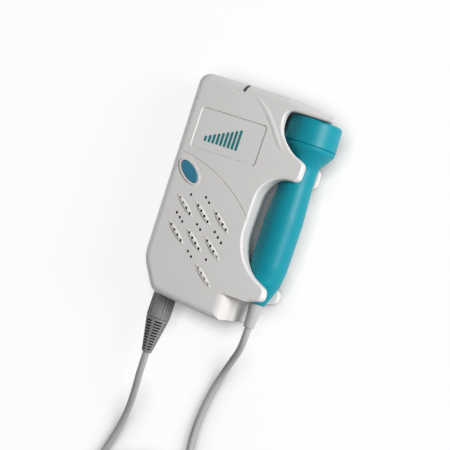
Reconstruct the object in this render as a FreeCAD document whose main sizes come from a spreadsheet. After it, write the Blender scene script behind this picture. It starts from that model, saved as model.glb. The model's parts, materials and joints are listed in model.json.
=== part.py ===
import FreeCAD, Part
import math
import os
from types import SimpleNamespace

import Sketcher
from FreeCAD import Placement, Rotation, Vector

# Pocket doppler: a two-part case that holds a probe in a channel along its right side.
# It lies on its back: +X towards the probe, +Y towards the top edge, +Z out of the front.
# All lengths are millimetres, and every angle is in degrees.
SIZES = {
    # case, outside
    "overall_width": 88.25,
    "right_reach": 44.1,
    "case_length": 135.0,
    "case_depth": 35.0,
    "parting_height": 16.0,
    "front_wall": 2.2,
    "back_wall": 3.0,
    "front_round": 4.0,
    "back_round": 2.5,
    "corner_round": 7.0,
    "chin_round": 22.0,
    "edge_round": 1.0,
    "lip_round": 1.4,
    "arm_round": 3.6,
    "shelf_round": 5.0,
    "shelf_edge_round": 3.0,
    # arms and openings that hold the probe
    "shelf_setback": 2.8,
    "shelf_drop": 3.8,
    "shelf_thickness": 3.3,
    "shelf_lean": 20.0,
    "recess_reach": 14.95,
    "recess_rise": 15.4,
    "recess_round": 16.0,
    "recess_bend": 4.55,
    "recess_bend_rise": 4.3,
    "recess_bend_round": 20.0,
    "tongue_past_axis": 5.0,
    "clip_past_axis": 8.3,
    "tongue_width": 11.4,
    "finger_gap": 5.2,
    "finger_top_round": 16.0,
    "finger_low_round": 30.0,
    "lobe_past_axis": 6.4,
    "lobe_width": 9.8,
    "lobe_slope": 12.0,
    "lobe_rise": 3.0,
    "foot_setback": 3.3,
    "foot_rise": 4.2,
    "foot_slant": 12.0,
    "scoop_radius": 11.8,
    "scoop_round": 8.0,
    "probe_clearance": 0.4,
    # probe
    "probe_height": 18.0,
    "head_radius": 16.2,
    "head_top_radius": 15.4,
    "head_length": 17.2,
    "head_seam": 15.2,
    "seam_depth": 0.35,
    "head_room": 3.0,
    "head_edge_round": 1.6,
    "cone_length": 9.6,
    "neck_radius": 9.7,
    "neck_length": 11.5,
    "swell_length": 22.0,
    "grip_radius": 11.15,
    "tip_rise": 15.4,
    "taper_length": 10.0,
    "taper_radius": 10.0,
    "tip_length": 13.0,
    "tip_radius": 5.0,
    "probe_wall": 2.0,
    "lens_thickness": 1.6,
    "lens_inset": 1.2,
    "crystal_thickness": 1.4,
    "crystal_radius": 9.5,
    "crystal_split": 0.8,
    "backing_thickness": 4.0,
    "backing_lip": 2.0,
    "probe_board_gap": 2.0,
    "probe_board_thickness": 1.6,
    "sleeve_length": 14.5,
    "sleeve_top_radius": 4.1,
    "sleeve_end_radius": 3.1,
    # panel, button and window
    "panel_depth": 0.9,
    "panel_round": 1.8,
    "panel_bevel": 0.6,
    "panel_gap": 0.15,
    "overlay_thickness": 0.4,
    "button_long": 15.0,
    "button_short": 6.6,
    "button_tilt": -40.0,
    "button_proud": 1.0,
    "button_travel": 1.0,
    "button_gap": 0.3,
    "button_flange": 1.2,
    "flange_thickness": 1.0,
    "stem_radius": 1.6,
    "rim_width": 1.2,
    "rim_height": 0.6,
    "lens_width": 1.6,
    "lens_reach": 4.6,
    "lens_depth": 6.0,
    "lens_tilt": -20.0,
    "lens_gap": 0.1,
    "guide_gap": 0.3,
    # moulded lines on the front
    "crease_width": 0.8,
    "crease_depth": 0.35,
    "bead_radius": 4.2,
    "bead_rise": 0.36,
    "bead_fade": 0.4,
    # speaker and grille
    "speaker_flange": 1.5,
    "speaker_gap": 1.4,
    "cone_thickness": 0.5,
    "gasket_thickness": 0.8,
    "ridge_rise": 0.8,
    "ridge_tilt": -40.0,
    "dimple_depth": 0.8,
    # main board and what stands on it
    "board_height": 20.0,
    "board_thickness": 1.6,
    "board_gap": 0.5,
    "board_end": 1.8,
    "board_side_gap": 0.7,
    "board_inset": 2.4,
    "post_radius": 2.2,
    "post_inset": 3.5,
    "switch_side": 6.2,
    "plunger_radius": 1.2,
    "plunger_gap": 0.15,
    "plunger_out": 1.6,
    "led_side": 2.4,
    "led_height": 1.2,
    "jack_width": 6.4,
    "jack_length": 12.0,
    "jack_height": 5.4,
    "jack_wall": 1.6,
    "jack_bore": 1.8,
    "collar_radius": 3.2,
    "collar_gap": 0.2,
    "wheel_thickness": 3.0,
    "wheel_gap": 0.4,
    "wheel_proud": 0.8,
    "scallop_depth": 1.3,
    "scallop_radius": 22.0,
    "scallop_width": 9.0,
    "knurl_radius": 0.45,
    "pot_height": 1.6,
    "pivot_radius": 1.5,
    "pivot_gap": 0.06,
    # battery well, cells and door
    "cell_radius": 7.1,
    "cell_length": 49.0,
    "nub_radius": 2.7,
    "nub_length": 1.2,
    "cell_gap": 0.5,
    "well_rise": 17.5,
    "well_wall": 1.3,
    "contact_room": 3.2,
    "contact_thickness": 0.4,
    "contact_side": 10.0,
    "door_ledge": 1.0,
    "door_thickness": 2.0,
    "door_gap": 0.15,
    "door_past_well": 2.4,
    "rail_depth": 1.0,
    "rail_thickness": 0.9,
    "door_rib_width": 0.8,
    "door_rib_pitch": 2.2,
    # screws
    "boss_radius": 3.4,
    "screw_radius": 1.25,
    "screw_gap": 0.08,
    "screw_head_radius": 2.5,
    "screw_head_height": 1.9,
    "screw_head_gap": 0.3,
    "screw_seat": 4.0,
    "screw_reach": 10.0,
    # plug and socket
    "plug_height": 17.5,
    "plug_radius": 7.0,
    "plug_length": 20.0,
    "plug_inset": 5.0,
    "plug_gap": 0.3,
    "flute_radius": 0.5,
    "barrel_radius": 4.6,
    "barrel_wall": 0.9,
    "barrel_length": 5.2,
    "socket_radius": 6.4,
    "socket_length": 7.6,
    "insert_radius": 3.2,
    "pin_radius": 0.5,
    "pin_circle": 1.8,
    "pin_length": 4.2,
    "boot_length": 21.0,
    "boot_top_radius": 6.2,
    "boot_end_radius": 2.9,
    "boot_slot": 0.9,
    "boot_groove": 1.3,
    # cable
    "cable_radius": 2.1,
    "lead_straight": 11.0,
    "coil_radius": 32.7,
    "coil_pitch": 4.8,
    "coil_lift": 1.6,
    "tie_width": 4.5,
    "tie_thickness": 0.8,
    "tie_gap": 0.6,
    # every cut runs this far past the face that it opens
    "overrun": 6.0,
}

# Places that follow the case. Across, those inside it are shares of half its hollow, from the
# hollow's middle, and those on its outline are shares of its width, from its left edge. Along, all are
# shares of its length.
PANEL_SHARES = ((-0.7551, 0.3496), (0.8315, 0.1719))
BUTTON_SHARES = (-0.57297, 0.06519)
SPEAKER_SHARES = (0.04603, -0.15407)
LENS_SHARE = 0.04603
JACK_SHARE = -0.51812
WHEEL_SHARE = 0.50049
PLUG_SHARE = -0.40451
WELL_SHARE = 0.10872
BOSS_SHARES = ((-0.8532, 0.452), (0.8296, 0.31), (-0.7994, -0.33), (0.9087, -0.425))
CHIN_SHARES = ((0.0238, -0.3437), (0.1473, -0.4726), (0.5541, -0.5))
SHELF_START_SHARE = 0.6346
BEAD_SHARES = ((0.3885, 0.4726), (0.502, 0.4267), (0.5881, 0.3659), (0.6602, 0.2997), (0.7309, 0.2546))
SWOOSH_SHARES = ((-0.0113, 0.1437), (0.3059, 0.097), (0.6357, -0.0607))
BROW_SHARES = ((0.3297, 0.4985), (0.2051, 0.417), (-0.0227, 0.3496))
BROW_DEPTH_SHARE = 0.6
SPEAKER_RADIUS_SHARE = 0.78355
BASKET_RADIUS_SHARE = 0.65
MAGNET_RADIUS_SHARE = 0.55
MAGNET_DEPTH_SHARE = 0.345
CONE_RISE_SHARE = 0.8026
WHEEL_RADIUS_SHARE = 0.68966
POT_SIDE_SHARE = 0.95
SWITCH_HEIGHT_SHARE = 0.43374
FINGER_TOP_LIMIT_SHARE = 0.35
FINGER_LOW_LIMIT_SHARE = 0.6
KNURL_COUNT = 28
BOOT_ROWS = 11
BOOT_SLOTS = 8
FLUTES = 4
FLUTE_STEP = 15.0
PIN_COUNT = 4
DOOR_RIBS = 5
COIL_HALF_TURNS = 13
COIL_INNER_SHARE = 3.3
COIL_OUTER_SHARE = 0.75

# The grille, in shares of the speaker's radius. Its ridges stand by column and row, and its loose
# holes by column, row and step along the slant, all in shares of these pitches.
GRILLE_RISE_SHARE = 0.44
COLUMN_PITCH_SHARE = 0.6
COLUMN_SLANT_SHARE = 0.06
ROW_PITCH_SHARE = 0.825
RIDGE_LENGTH_SHARE = 0.9
RIDGE_WIDTH_SHARE = 0.16
HOLE_PITCH_SHARE = 0.185
HOLE_RADIUS_SHARE = 0.043
GASKET_WIDTH_SHARE = 0.1
RIDGE_SHARES = ((-1, 0), (0, 0), (1, 0), (-1, 1), (0, 1), (1, 1), (1, 2))
RIDGE_STEP_SHARES = (-1.5, -0.5, 0.5, 1.5)
LOOSE_HOLE_SHARES = (
    (-1, -0.5, 0.5), (0, -0.5, -0.5), (0, -0.5, 0.5),
    (-1, 0.5, -1.2), (-1, 0.5, -0.3), (-1, 0.5, 0.5),
    (0, 0.5, -0.5), (0, 0.5, 0.5),
    (1, 0.5, -0.6), (1, 0.5, 0.4), (1, 0.5, 1.4),
    (0, 1.5, -0.5), (0, 1.5, 0.5), (1, 1.5, -0.5),
)

# The cable's two free stretches, point by point, between the parts that they join.
PLUG_LEAD_ROUTE = (
    (-26.75, -112.0, 17.5), (-27.65, -124.5, 12.2), (-29.85, -138.0, 5.4),
    (-33.05, -152.0, 2.5), (-37.05, -166.0, 2.4),
)
PROBE_LEAD_ROUTE = (
    (27.9, -74.8, 18.0), (25.95, -82.0, 13.6), (22.45, -88.8, 8.6), (19.15, -96.4, 4.6),
    (16.25, -105.0, 2.4), (13.85, -116.5, 2.3), (12.55, -130.0, 2.3), (12.75, -144.0, 2.4),
    (15.55, -157.0, 3.4), (20.75, -169.0, 6.4),
)
COIL_CENTRE = (-7.65, -196.0)


class Size(float):
    """A number that remembers the sheet formula that it came from."""

    def __new__(cls, value, formula):
        size = super().__new__(cls, value)
        size.formula = formula
        return size

    def __add__(self, other):
        return Size(float(self) + float(other), f"({self.formula} + {formula_of(other)})")

    def __radd__(self, other):
        return Size(float(other) + float(self), f"({formula_of(other)} + {self.formula})")

    def __sub__(self, other):
        return Size(float(self) - float(other), f"({self.formula} - {formula_of(other)})")

    def __rsub__(self, other):
        return Size(float(other) - float(self), f"({formula_of(other)} - {self.formula})")

    def __mul__(self, other):
        return Size(float(self) * float(other), f"({self.formula} * {formula_of(other)})")

    def __rmul__(self, other):
        return Size(float(other) * float(self), f"({formula_of(other)} * {self.formula})")

    def __truediv__(self, other):
        return Size(float(self) / float(other), f"({self.formula} / {formula_of(other)})")

    def __neg__(self):
        return Size(-float(self), f"(0 - {self.formula})")


def formula_of(number):
    return getattr(number, "formula", repr(float(number)))


def fill_sheet(sizes):
    sheet = document.addObject("Spreadsheet::Sheet", "Sizes")
    for row, (alias, value) in enumerate(sizes.items(), start=1):
        sheet.set(f"A{row}", alias)
        sheet.set(f"B{row}", str(value))
        sheet.setAlias(f"B{row}", alias)
    document.recompute()
    return SimpleNamespace(**{alias: Size(sheet.get(alias), f"Sizes.{alias}") for alias in sizes})


document = FreeCAD.newDocument("PocketDoppler")
size = fill_sheet(SIZES)
nodes = []


def keep(made, label):
    """Give a finished sub-part its name and list it for export."""
    made.Label = label
    nodes.append(made)
    return made


def bind(made, places):
    """Tie each named property of an object to the formula of a size."""
    for name, value in places.items():
        made.setExpression(name, formula_of(value))
    return made


def put(made, x, y, z):
    return bind(made, {"Placement.Base.x": x, "Placement.Base.y": y, "Placement.Base.z": z})


def add_box(name, low, extent):
    made = document.addObject("Part::Box", name)
    bind(made, {"Length": extent[0], "Width": extent[1], "Height": extent[2]})
    return put(made, *low)


UPRIGHT = Rotation()
ALONG_Y = Rotation(Vector(1, 0, 0), -90)


def add_cylinder(name, foot, radius, height, turn=UPRIGHT):
    made = document.addObject("Part::Cylinder", name)
    made.Placement = Placement(Vector(), turn)
    bind(made, {"Radius": radius, "Height": height})
    return put(made, *foot)


def add_cut(name, base, tools):
    """Cut one tool, or several together, from a base."""
    made = document.addObject("Part::Cut", name)
    made.Base = base
    made.Tool = tools[0] if len(tools) == 1 else add_group(name + "_tools", tools)
    return made


def add_fuse(name, shapes):
    made = document.addObject("Part::MultiFuse", name)
    made.Shapes = shapes
    return made


def add_group(name, shapes):
    made = document.addObject("Part::Compound", name)
    made.Links = shapes
    return made


def add_shape(name, shape):
    made = document.addObject("Part::Feature", name)
    made.Shape = shape
    made.Placement = Placement()
    return made


def origin_plane(body, role):
    return next(plane for plane in body.Origin.OriginFeatures if plane.Role == role)


def pin_corner(sketch, edge, direction, axis, value):
    """Hold one coordinate of an edge's first end, on an axis or at a bound distance."""
    if float(value) == 0:
        sketch.addConstraint(Sketcher.Constraint("PointOnObject", edge, 1, axis))
        return
    number = sketch.addConstraint(Sketcher.Constraint(direction, -1, 1, edge, 1, float(value)))
    sketch.setExpression(f"Constraints[{number}]", formula_of(value))


def draw_outline(body, name, points):
    """A closed outline of straight edges in the body's own XY plane, every corner bound."""
    sketch = body.newObject("Sketcher::SketchObject", name)
    sketch.AttachmentSupport = (origin_plane(body, "XY_Plane"), "")
    sketch.MapMode = "FlatFace"
    corners = [Vector(x, y, 0) for x, y in points]
    following = corners[1:] + corners[:1]
    for corner, next_corner in zip(corners, following):
        sketch.addGeometry(Part.LineSegment(corner, next_corner), False)
    for edge in range(len(corners)):
        next_edge = (edge + 1) % len(corners)
        sketch.addConstraint(Sketcher.Constraint("Coincident", edge, 2, next_edge, 1))
    for edge, (x, y) in enumerate(points):
        pin_corner(sketch, edge, "DistanceX", -2, x)
        pin_corner(sketch, edge, "DistanceY", -1, y)
    return sketch


RISING_Z = Rotation(Vector(1, 0, 0), 90)


def add_turned(name, profile, foot, turn=UPRIGHT):
    """Turn a profile of (radius, height) corners about its body's own upright axis."""
    body = document.addObject("PartDesign::Body", name)
    sketch = draw_outline(body, name + "_profile", profile)
    turned = body.newObject("PartDesign::Revolution", name + "_turned")
    turned.Profile = sketch
    turned.ReferenceAxis = (sketch, ["V_Axis"])
    turned.Angle = 360
    body.Placement = Placement(Vector(), turn)
    return put(body, *foot)


def arc_between(start, corner, end):
    """The arc that leaves start towards corner and reaches end from it, both ways equally long."""
    into = (corner - start).normalize()
    out_of = (end - corner).normalize()
    weight = math.cos(into.getAngle(out_of) / 2)
    middle = (start + corner * (2 * weight) + end) * (1 / (2 + 2 * weight))
    return Part.Arc(start, middle, end).toShape()


def rounded_wire(corners):
    """A closed wire through (x, y, radius) corners, with each radius as a tangent arc."""
    places = [Vector(x, y, 0) for x, y, _ in corners]
    starts = []
    ends = []
    for index, (_, _, radius) in enumerate(corners):
        here = places[index]
        back = (places[index - 1] - here).normalize()
        ahead = (places[(index + 1) % len(places)] - here).normalize()
        reach = radius / math.tan(back.getAngle(ahead) / 2)
        starts.append(here + back * reach)
        ends.append(here + ahead * reach)
    edges = []
    for index, (_, _, radius) in enumerate(corners):
        if radius > 0:
            edges.append(arc_between(starts[index], places[index], ends[index]))
        following = starts[(index + 1) % len(corners)]
        edges.append(Part.LineSegment(ends[index], following).toShape())
    return Part.Wire(edges)


def prism(wire, low, high):
    """The solid over a flat wire, between two heights."""
    face = Part.Face(wire)
    face.translate(Vector(0, 0, low))
    return face.extrude(Vector(0, 0, high - low))


def block(low, high):
    extent = [end - start for start, end in zip(low, high)]
    return Part.makeBox(*extent, Vector(*low))


def rod(foot, radius, height, direction=Vector(0, 0, 1)):
    return Part.makeCylinder(radius, height, Vector(*foot), direction)


def route_radii(points):
    """The bend radius at each inner point of a route, as large as its two runs allow."""
    radii = []
    for before, here, after in zip(points, points[1:], points[2:]):
        turn = (here - before).getAngle(after - here)
        shorter = min((here - before).Length, (after - here).Length)
        radii.append(BEND_SHARE * shorter / math.tan(turn / 2))
    return radii


BEND_SHARE = 0.45


def route_wire(points):
    """Straight runs joined by tangent arcs."""
    edges = []
    leave = points[0]
    for before, here, after in zip(points, points[1:], points[2:]):
        reach = BEND_SHARE * min((here - before).Length, (after - here).Length)
        start = here + (before - here).normalize() * reach
        end = here + (after - here).normalize() * reach
        edges.append(Part.LineSegment(leave, start).toShape())
        edges.append(arc_between(start, here, end))
        leave = end
    edges.append(Part.LineSegment(leave, points[-1]).toShape())
    return Part.Wire(edges)


def tube(wire, radius):
    """A round tube along a wire."""
    first = wire.OrderedEdges[0]
    start = first.valueAt(first.FirstParameter)
    heading = first.tangentAt(first.FirstParameter)
    ring = Part.Wire(Part.makeCircle(radius, start, heading))
    shell = Part.BRepOffsetAPI.MakePipeShell(wire)
    shell.add(ring)
    shell.build()
    shell.makeSolid()
    return shell.shape()


# Places that several pieces share.
left_edge = size.right_reach - size.overall_width
top = size.case_length / 2
front = size.case_depth
probe_x = size.right_reach - size.head_radius
probe_z = size.probe_height
shelf_end = size.right_reach - size.shelf_setback
shelf_under = top - size.shelf_drop - size.shelf_thickness
head_top = shelf_under - size.probe_clearance
head_seam_y = head_top - size.head_seam
cone_top = head_top - size.head_length
neck_top = cone_top - size.cone_length
neck_bottom = neck_top - size.neck_length
grip_top = neck_bottom - size.swell_length
tip_y = size.tip_rise - top
taper_bottom = tip_y + size.tip_length
grip_bottom = taper_bottom + size.taper_length
grip_length = grip_top - grip_bottom
tongue_bottom = neck_bottom
tongue_top = tongue_bottom + size.tongue_width
finger_wall = probe_x - size.grip_radius - size.finger_gap
lobe_bottom = tip_y
lobe_top = lobe_bottom + size.lobe_width
finger_span = tongue_bottom - lobe_top - size.lobe_slope
finger_top_round = min(size.finger_top_round, FINGER_TOP_LIMIT_SHARE * finger_span)
finger_low_round = min(size.finger_low_round, FINGER_LOW_LIMIT_SHARE * finger_span)
cavity_left = left_edge + size.front_wall
cavity_right = probe_x - size.head_radius - size.probe_clearance - size.front_wall
cavity_middle = (cavity_left + cavity_right) / 2
cavity_half = (cavity_right - cavity_left) / 2
inner_front = front - size.front_wall
board_top = size.board_height + size.board_thickness
chin, heel, sole = [(left_edge + x * size.overall_width, y * size.case_length) for x, y in CHIN_SHARES]
bosses = [(cavity_middle + x * cavity_half, y * size.case_length) for x, y in BOSS_SHARES]
panel_left, panel_right = [cavity_middle + x * cavity_half for x, _ in PANEL_SHARES]
panel_upper, panel_lower = [y * size.case_length for _, y in PANEL_SHARES]
button_x = cavity_middle + BUTTON_SHARES[0] * cavity_half
button_y = BUTTON_SHARES[1] * size.case_length
speaker_x = cavity_middle + SPEAKER_SHARES[0] * cavity_half
speaker_y = SPEAKER_SHARES[1] * size.case_length
speaker_radius = SPEAKER_RADIUS_SHARE * cavity_half
basket_radius = BASKET_RADIUS_SHARE * speaker_radius
magnet_radius = MAGNET_RADIUS_SHARE * speaker_radius
gasket_width = GASKET_WIDTH_SHARE * speaker_radius
grille_y = speaker_y + GRILLE_RISE_SHARE * speaker_radius
column_pitch = COLUMN_PITCH_SHARE * speaker_radius
column_slant = COLUMN_SLANT_SHARE * speaker_radius
row_pitch = ROW_PITCH_SHARE * speaker_radius
ridge_length = RIDGE_LENGTH_SHARE * speaker_radius
ridge_width = RIDGE_WIDTH_SHARE * speaker_radius
hole_pitch = HOLE_PITCH_SHARE * speaker_radius
hole_radius = HOLE_RADIUS_SHARE * speaker_radius
lens_x = cavity_middle + LENS_SHARE * cavity_half
jack_x = cavity_middle + JACK_SHARE * cavity_half
wheel_x = cavity_middle + WHEEL_SHARE * cavity_half
wheel_radius = WHEEL_RADIUS_SHARE * (wheel_x - lens_x)
pot_side = POT_SIDE_SHARE * wheel_radius
plug_x = cavity_middle + PLUG_SHARE * cavity_half
well_x = cavity_middle + WELL_SHARE * cavity_half
well_bottom = size.well_rise - top
plug_edge = heel[1] + (sole[1] - heel[1]) * ((plug_x - heel[0]) / (sole[0] - heel[0]))
plug_top = plug_edge + size.plug_inset
socket_low = plug_top + size.plug_gap
cradle_high = size.plug_height - size.socket_radius / 2
well_half = 2 * size.cell_radius + 1.5 * size.cell_gap
cell_z = size.back_wall + size.cell_radius
well_ceiling = cell_z + size.cell_radius + size.cell_gap
well_top = well_bottom + 2 * size.contact_room + size.cell_length + size.nub_length
door_half = well_half + size.door_ledge
door_top_y = well_top + size.door_past_well
board_left = bosses[0][0] + size.boss_radius + size.board_gap
board_width = bosses[1][0] - size.boss_radius - size.board_side_gap - board_left
board_upper = top - size.front_wall - size.board_inset
board_length = board_upper - button_y + size.switch_side / 2 + size.board_end
flange_high = inner_front - size.button_gap
flange_low = flange_high - size.flange_thickness
switch_height = SWITCH_HEIGHT_SHARE * (flange_low - board_top - size.plunger_out)
speaker_depth = inner_front - size.gasket_thickness - well_ceiling - size.well_wall - size.speaker_gap
magnet_depth = MAGNET_DEPTH_SHARE * speaker_depth
wheel_y = top - size.scallop_depth + size.wheel_proud - wheel_radius
wheel_low = board_top + size.pot_height + size.wheel_gap / 2
led_y = board_upper - size.led_side
jack_top = top - size.front_wall - size.collar_gap
SAME_PLACE = 0.001


def edges_at(shape, height):
    """The edges of a solid that lie flat at one height."""
    flat = []
    for edge in shape.Edges:
        bounds = edge.BoundBox
        if abs(bounds.ZMin - height) < SAME_PLACE and abs(bounds.ZMax - height) < SAME_PLACE:
            flat.append(edge)
    return flat


def pillow_wire():
    """The case's left, top and bottom edges, carried on to the right past the probe."""
    shelf_start = left_edge + SHELF_START_SHARE * size.overall_width
    far = 2 * shelf_end - shelf_start
    return rounded_wire((
        (left_edge, top, size.corner_round),
        (shelf_start, top, size.scallop_radius),
        (far, top - 2 * size.shelf_drop, size.corner_round),
        (far, -top, size.corner_round),
        (*sole, size.chin_round),
        (*heel, size.corner_round),
        (*chin, size.chin_round),
    ))


def side_wire(tongue_past, lobe_past):
    """The case's right side: shelf, head recess, tongue, finger gap, lobe and foot."""
    past = size.overrun
    recess_left = probe_x - size.recess_reach
    foot_x = probe_x - size.foot_setback
    foot_y = size.foot_rise - top
    return rounded_wire((
        (left_edge - past, top + past, 0),
        (shelf_end, top + past, 0),
        (shelf_end, shelf_under, size.shelf_edge_round),
        (recess_left, shelf_under, size.shelf_round),
        (recess_left, tongue_top + size.recess_rise, size.recess_round),
        (probe_x - size.recess_bend, tongue_top + size.recess_bend_rise, size.recess_bend_round),
        (probe_x + tongue_past, tongue_top, size.arm_round),
        (probe_x + tongue_past, tongue_bottom, size.arm_round),
        (finger_wall, tongue_bottom, finger_top_round),
        (finger_wall, lobe_top + size.lobe_slope, finger_low_round),
        (probe_x + lobe_past, lobe_top, size.arm_round),
        (probe_x + lobe_past, lobe_bottom + size.lobe_rise, size.arm_round),
        (foot_x, lobe_bottom, size.shelf_edge_round),
        (foot_x, foot_y, size.arm_round),
        (foot_x - 2 * size.foot_slant, foot_y - 2 * size.foot_rise, 0),
        (foot_x - 2 * size.foot_slant, -top - 2 * past, 0),
        (left_edge - past, -top - 2 * past, 0),
    ))


def case_block():
    """The whole outside of the case, before it is parted and hollowed."""
    pillow = prism(pillow_wire(), 0, front)
    pillow = pillow.makeFillet(size.front_round, edges_at(pillow, front))
    pillow = pillow.makeFillet(size.back_round, edges_at(pillow, 0))
    parting = size.parting_height
    clips = prism(side_wire(size.clip_past_axis, size.clip_past_axis), 0, parting)
    clips = clips.makeFillet(size.edge_round, edges_at(clips, 0))
    arms = prism(side_wire(size.tongue_past_axis, size.lobe_past_axis), parting, front)
    arms = arms.makeFillet(size.lip_round, edges_at(arms, front))
    return pillow.common(clips.fuse(arms)).cut(shelf_slope())


def shelf_slope():
    """What the shelf's end leaves out, as it draws back from its front lip."""
    lip = front - size.lip_round
    lean = math.tan(math.radians(size.shelf_lean))
    past = size.overrun
    low = tongue_top + size.recess_rise
    corners = [
        Vector(shelf_end, low, lip),
        Vector(shelf_end + size.case_depth, low, lip),
        Vector(shelf_end + size.case_depth, low, -past),
        Vector(shelf_end - (lip + past) * lean, low, -past),
    ]
    face = Part.Face(Part.makePolygon([*corners, corners[0]]))
    return face.extrude(Vector(0, size.case_length, 0))


def case_cavity(low, high):
    """The hollow of the case, one wall inside its outline and left of the probe."""
    inside = prism(pillow_wire().makeOffset2D(-size.front_wall), low, high)
    past = size.overrun
    left_part = block((left_edge - past, -top - past, low), (cavity_right, top + past, high))
    return inside.common(left_part)


def probe_wire(clearance):
    """Half of the probe's section, radius against height along its axis."""
    return rounded_wire((
        (0, head_top + clearance, 0),
        (size.head_top_radius + clearance, head_top + clearance, size.head_edge_round),
        (size.head_radius + clearance, cone_top, size.cone_length / 2),
        (size.neck_radius + clearance, neck_top, size.cone_length),
        (size.neck_radius + clearance, neck_bottom, size.neck_length),
        (size.grip_radius + clearance, grip_top, size.swell_length),
        (size.grip_radius + clearance, grip_bottom, grip_length),
        (size.taper_radius + clearance, taper_bottom, size.tip_length / 2),
        (size.tip_radius + clearance, tip_y, size.edge_round),
        (0, tip_y, 0),
    ))


def probe_solid(clearance):
    """The probe's outside, or the room that it needs, standing on its own axis."""
    solid = Part.Face(probe_wire(clearance)).revolve(Vector(), Vector(0, 1, 0), 360)
    solid.translate(Vector(probe_x, 0, probe_z))
    return solid


def head_pocket():
    """More room beside the head, under the front lip of its recess."""
    low = (probe_x - size.head_radius - size.probe_clearance, tongue_top, probe_z)
    return probe_solid(size.head_room).common(block(low, (probe_x, shelf_under, front)))


def seam_groove():
    """The small groove all round where the head meets the handle."""
    depth = size.seam_depth
    corners = [
        Vector(size.head_radius - 2 * depth, head_seam_y, 0),
        Vector(size.head_radius + depth, head_seam_y + 2 * depth, 0),
        Vector(size.head_radius + depth, head_seam_y - 2 * depth, 0),
    ]
    ring = Part.Face(Part.makePolygon([*corners, corners[0]]))
    ring = ring.revolve(Vector(), Vector(0, 1, 0), 360)
    ring.translate(Vector(probe_x, 0, probe_z))
    return ring


def probe_channel():
    """What the probe sweeps as it slides out sideways, sleeve included."""
    gap = size.probe_clearance
    half = Part.Face(probe_wire(gap))
    half.rotate(Vector(), Vector(0, 1, 0), -90)
    other = half.copy()
    other.rotate(Vector(), Vector(0, 1, 0), 180)
    swept = []
    for face in (half, other):
        face.translate(Vector(probe_x, 0, probe_z))
        swept.append(face.extrude(Vector(size.overall_width, 0, 0)))
    sleeve_room = size.sleeve_top_radius + gap
    sleeve_low = tip_y - size.sleeve_length
    swept.append(rod((probe_x, sleeve_low, probe_z), sleeve_room, -sleeve_low, Vector(0, 1, 0)))
    swept.append(block(
        (probe_x, sleeve_low, probe_z - sleeve_room),
        (probe_x + size.overall_width, tip_y + size.overrun, probe_z + sleeve_room),
    ))
    return probe_solid(gap).fuse(swept)


def sleeve_scoop():
    """The hollow below the lobe that leaves the sleeve room to bend, rolled over at its left."""
    low = -top - size.overrun
    height = Vector(0, lobe_bottom - low, 0)
    left = probe_x - size.scoop_radius
    right = left + size.overall_width
    roll = size.scoop_round
    high = front + size.overrun
    centre = Vector(left - roll, low, front - roll)
    start = centre + Vector(0, 0, roll)
    middle = centre + Vector(roll / math.sqrt(2), 0, roll / math.sqrt(2))
    corners = [
        Vector(left, low, front - roll), Vector(left, low, probe_z), Vector(right, low, probe_z),
        Vector(right, low, high), Vector(left - roll, low, high), start,
    ]
    outline = Part.Wire([Part.Arc(start, middle, corners[0]).toShape(), *Part.makePolygon(corners).Edges])
    scoop = rod((probe_x, low, probe_z), size.scoop_radius, height.y, Vector(0, 1, 0))
    return scoop.fuse(Part.Face(outline).extrude(height))


def plug_hole():
    """The way in for the plug, and the seat of the socket above it."""
    up = Vector(0, 1, 0)
    foot = (plug_x, -top - size.overrun, size.plug_height)
    way_in = rod(foot, size.plug_radius + size.plug_gap, socket_low - foot[1], up)
    seat_foot = (plug_x, socket_low, size.plug_height)
    seat = rod(seat_foot, size.socket_radius + size.plug_gap / 2, size.socket_length + size.plug_gap, up)
    return way_in.fuse(seat)


def oval(long, short, low, high):
    """An oval prism at the button's place and tilt."""
    edge = Part.Ellipse(Vector(), long / 2, short / 2).toShape()
    shape = prism(Part.Wire(edge), low, high)
    shape.rotate(Vector(), Vector(0, 0, 1), size.button_tilt)
    shape.translate(Vector(button_x, button_y, 0))
    return shape


def lens_block(gap):
    """The tilted block that the indicator window fills, with room around it."""
    past = size.overrun
    low_y = top - size.lens_reach
    shape = block(
        (lens_x - size.lens_width / 2 - gap, low_y - gap, front - size.lens_depth - gap),
        (lens_x + size.lens_width / 2 + gap, top + past, front + past),
    )
    shape.rotate(Vector(lens_x, low_y, 0), Vector(0, 0, 1), size.lens_tilt)
    return shape


def grille_place(column, row, step):
    """A place on the grille, in its slanted columns and rows."""
    slant = math.radians(size.ridge_tilt)
    x = speaker_x + column * column_pitch + step * hole_pitch * math.cos(slant)
    y = grille_y - column * column_slant - row * row_pitch
    return Vector(x, y + step * hole_pitch * math.sin(slant), front)


def grille_ridge():
    """A raised seed-shaped ridge: the top of a spindle that lies sunk in the front."""
    half_length = ridge_length / 2
    rise = size.ridge_rise
    sunk = ((ridge_width / 2) ** 2 - rise ** 2) / (2 * rise)
    bow = (half_length ** 2 + rise ** 2) / (2 * rise)
    waist = rise + sunk
    half_chord = math.sqrt(bow ** 2 - (bow - waist) ** 2)
    ends = [Vector(-half_chord, 0, -sunk), Vector(half_chord, 0, -sunk)]
    arc = Part.Arc(ends[0], Vector(0, waist, -sunk), ends[1]).toShape()
    chord = Part.LineSegment(ends[1], ends[0]).toShape()
    spindle = Part.Face(Part.Wire([arc, chord])).revolve(ends[0], Vector(1, 0, 0), 360)
    reach = Vector(half_chord, waist, rise)
    visible = block((-reach.x, -reach.y, -rise), (reach.x, reach.y, 2 * rise))
    ridge = spindle.common(visible)
    ridge.rotate(Vector(), Vector(0, 0, 1), size.ridge_tilt)
    return ridge


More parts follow.
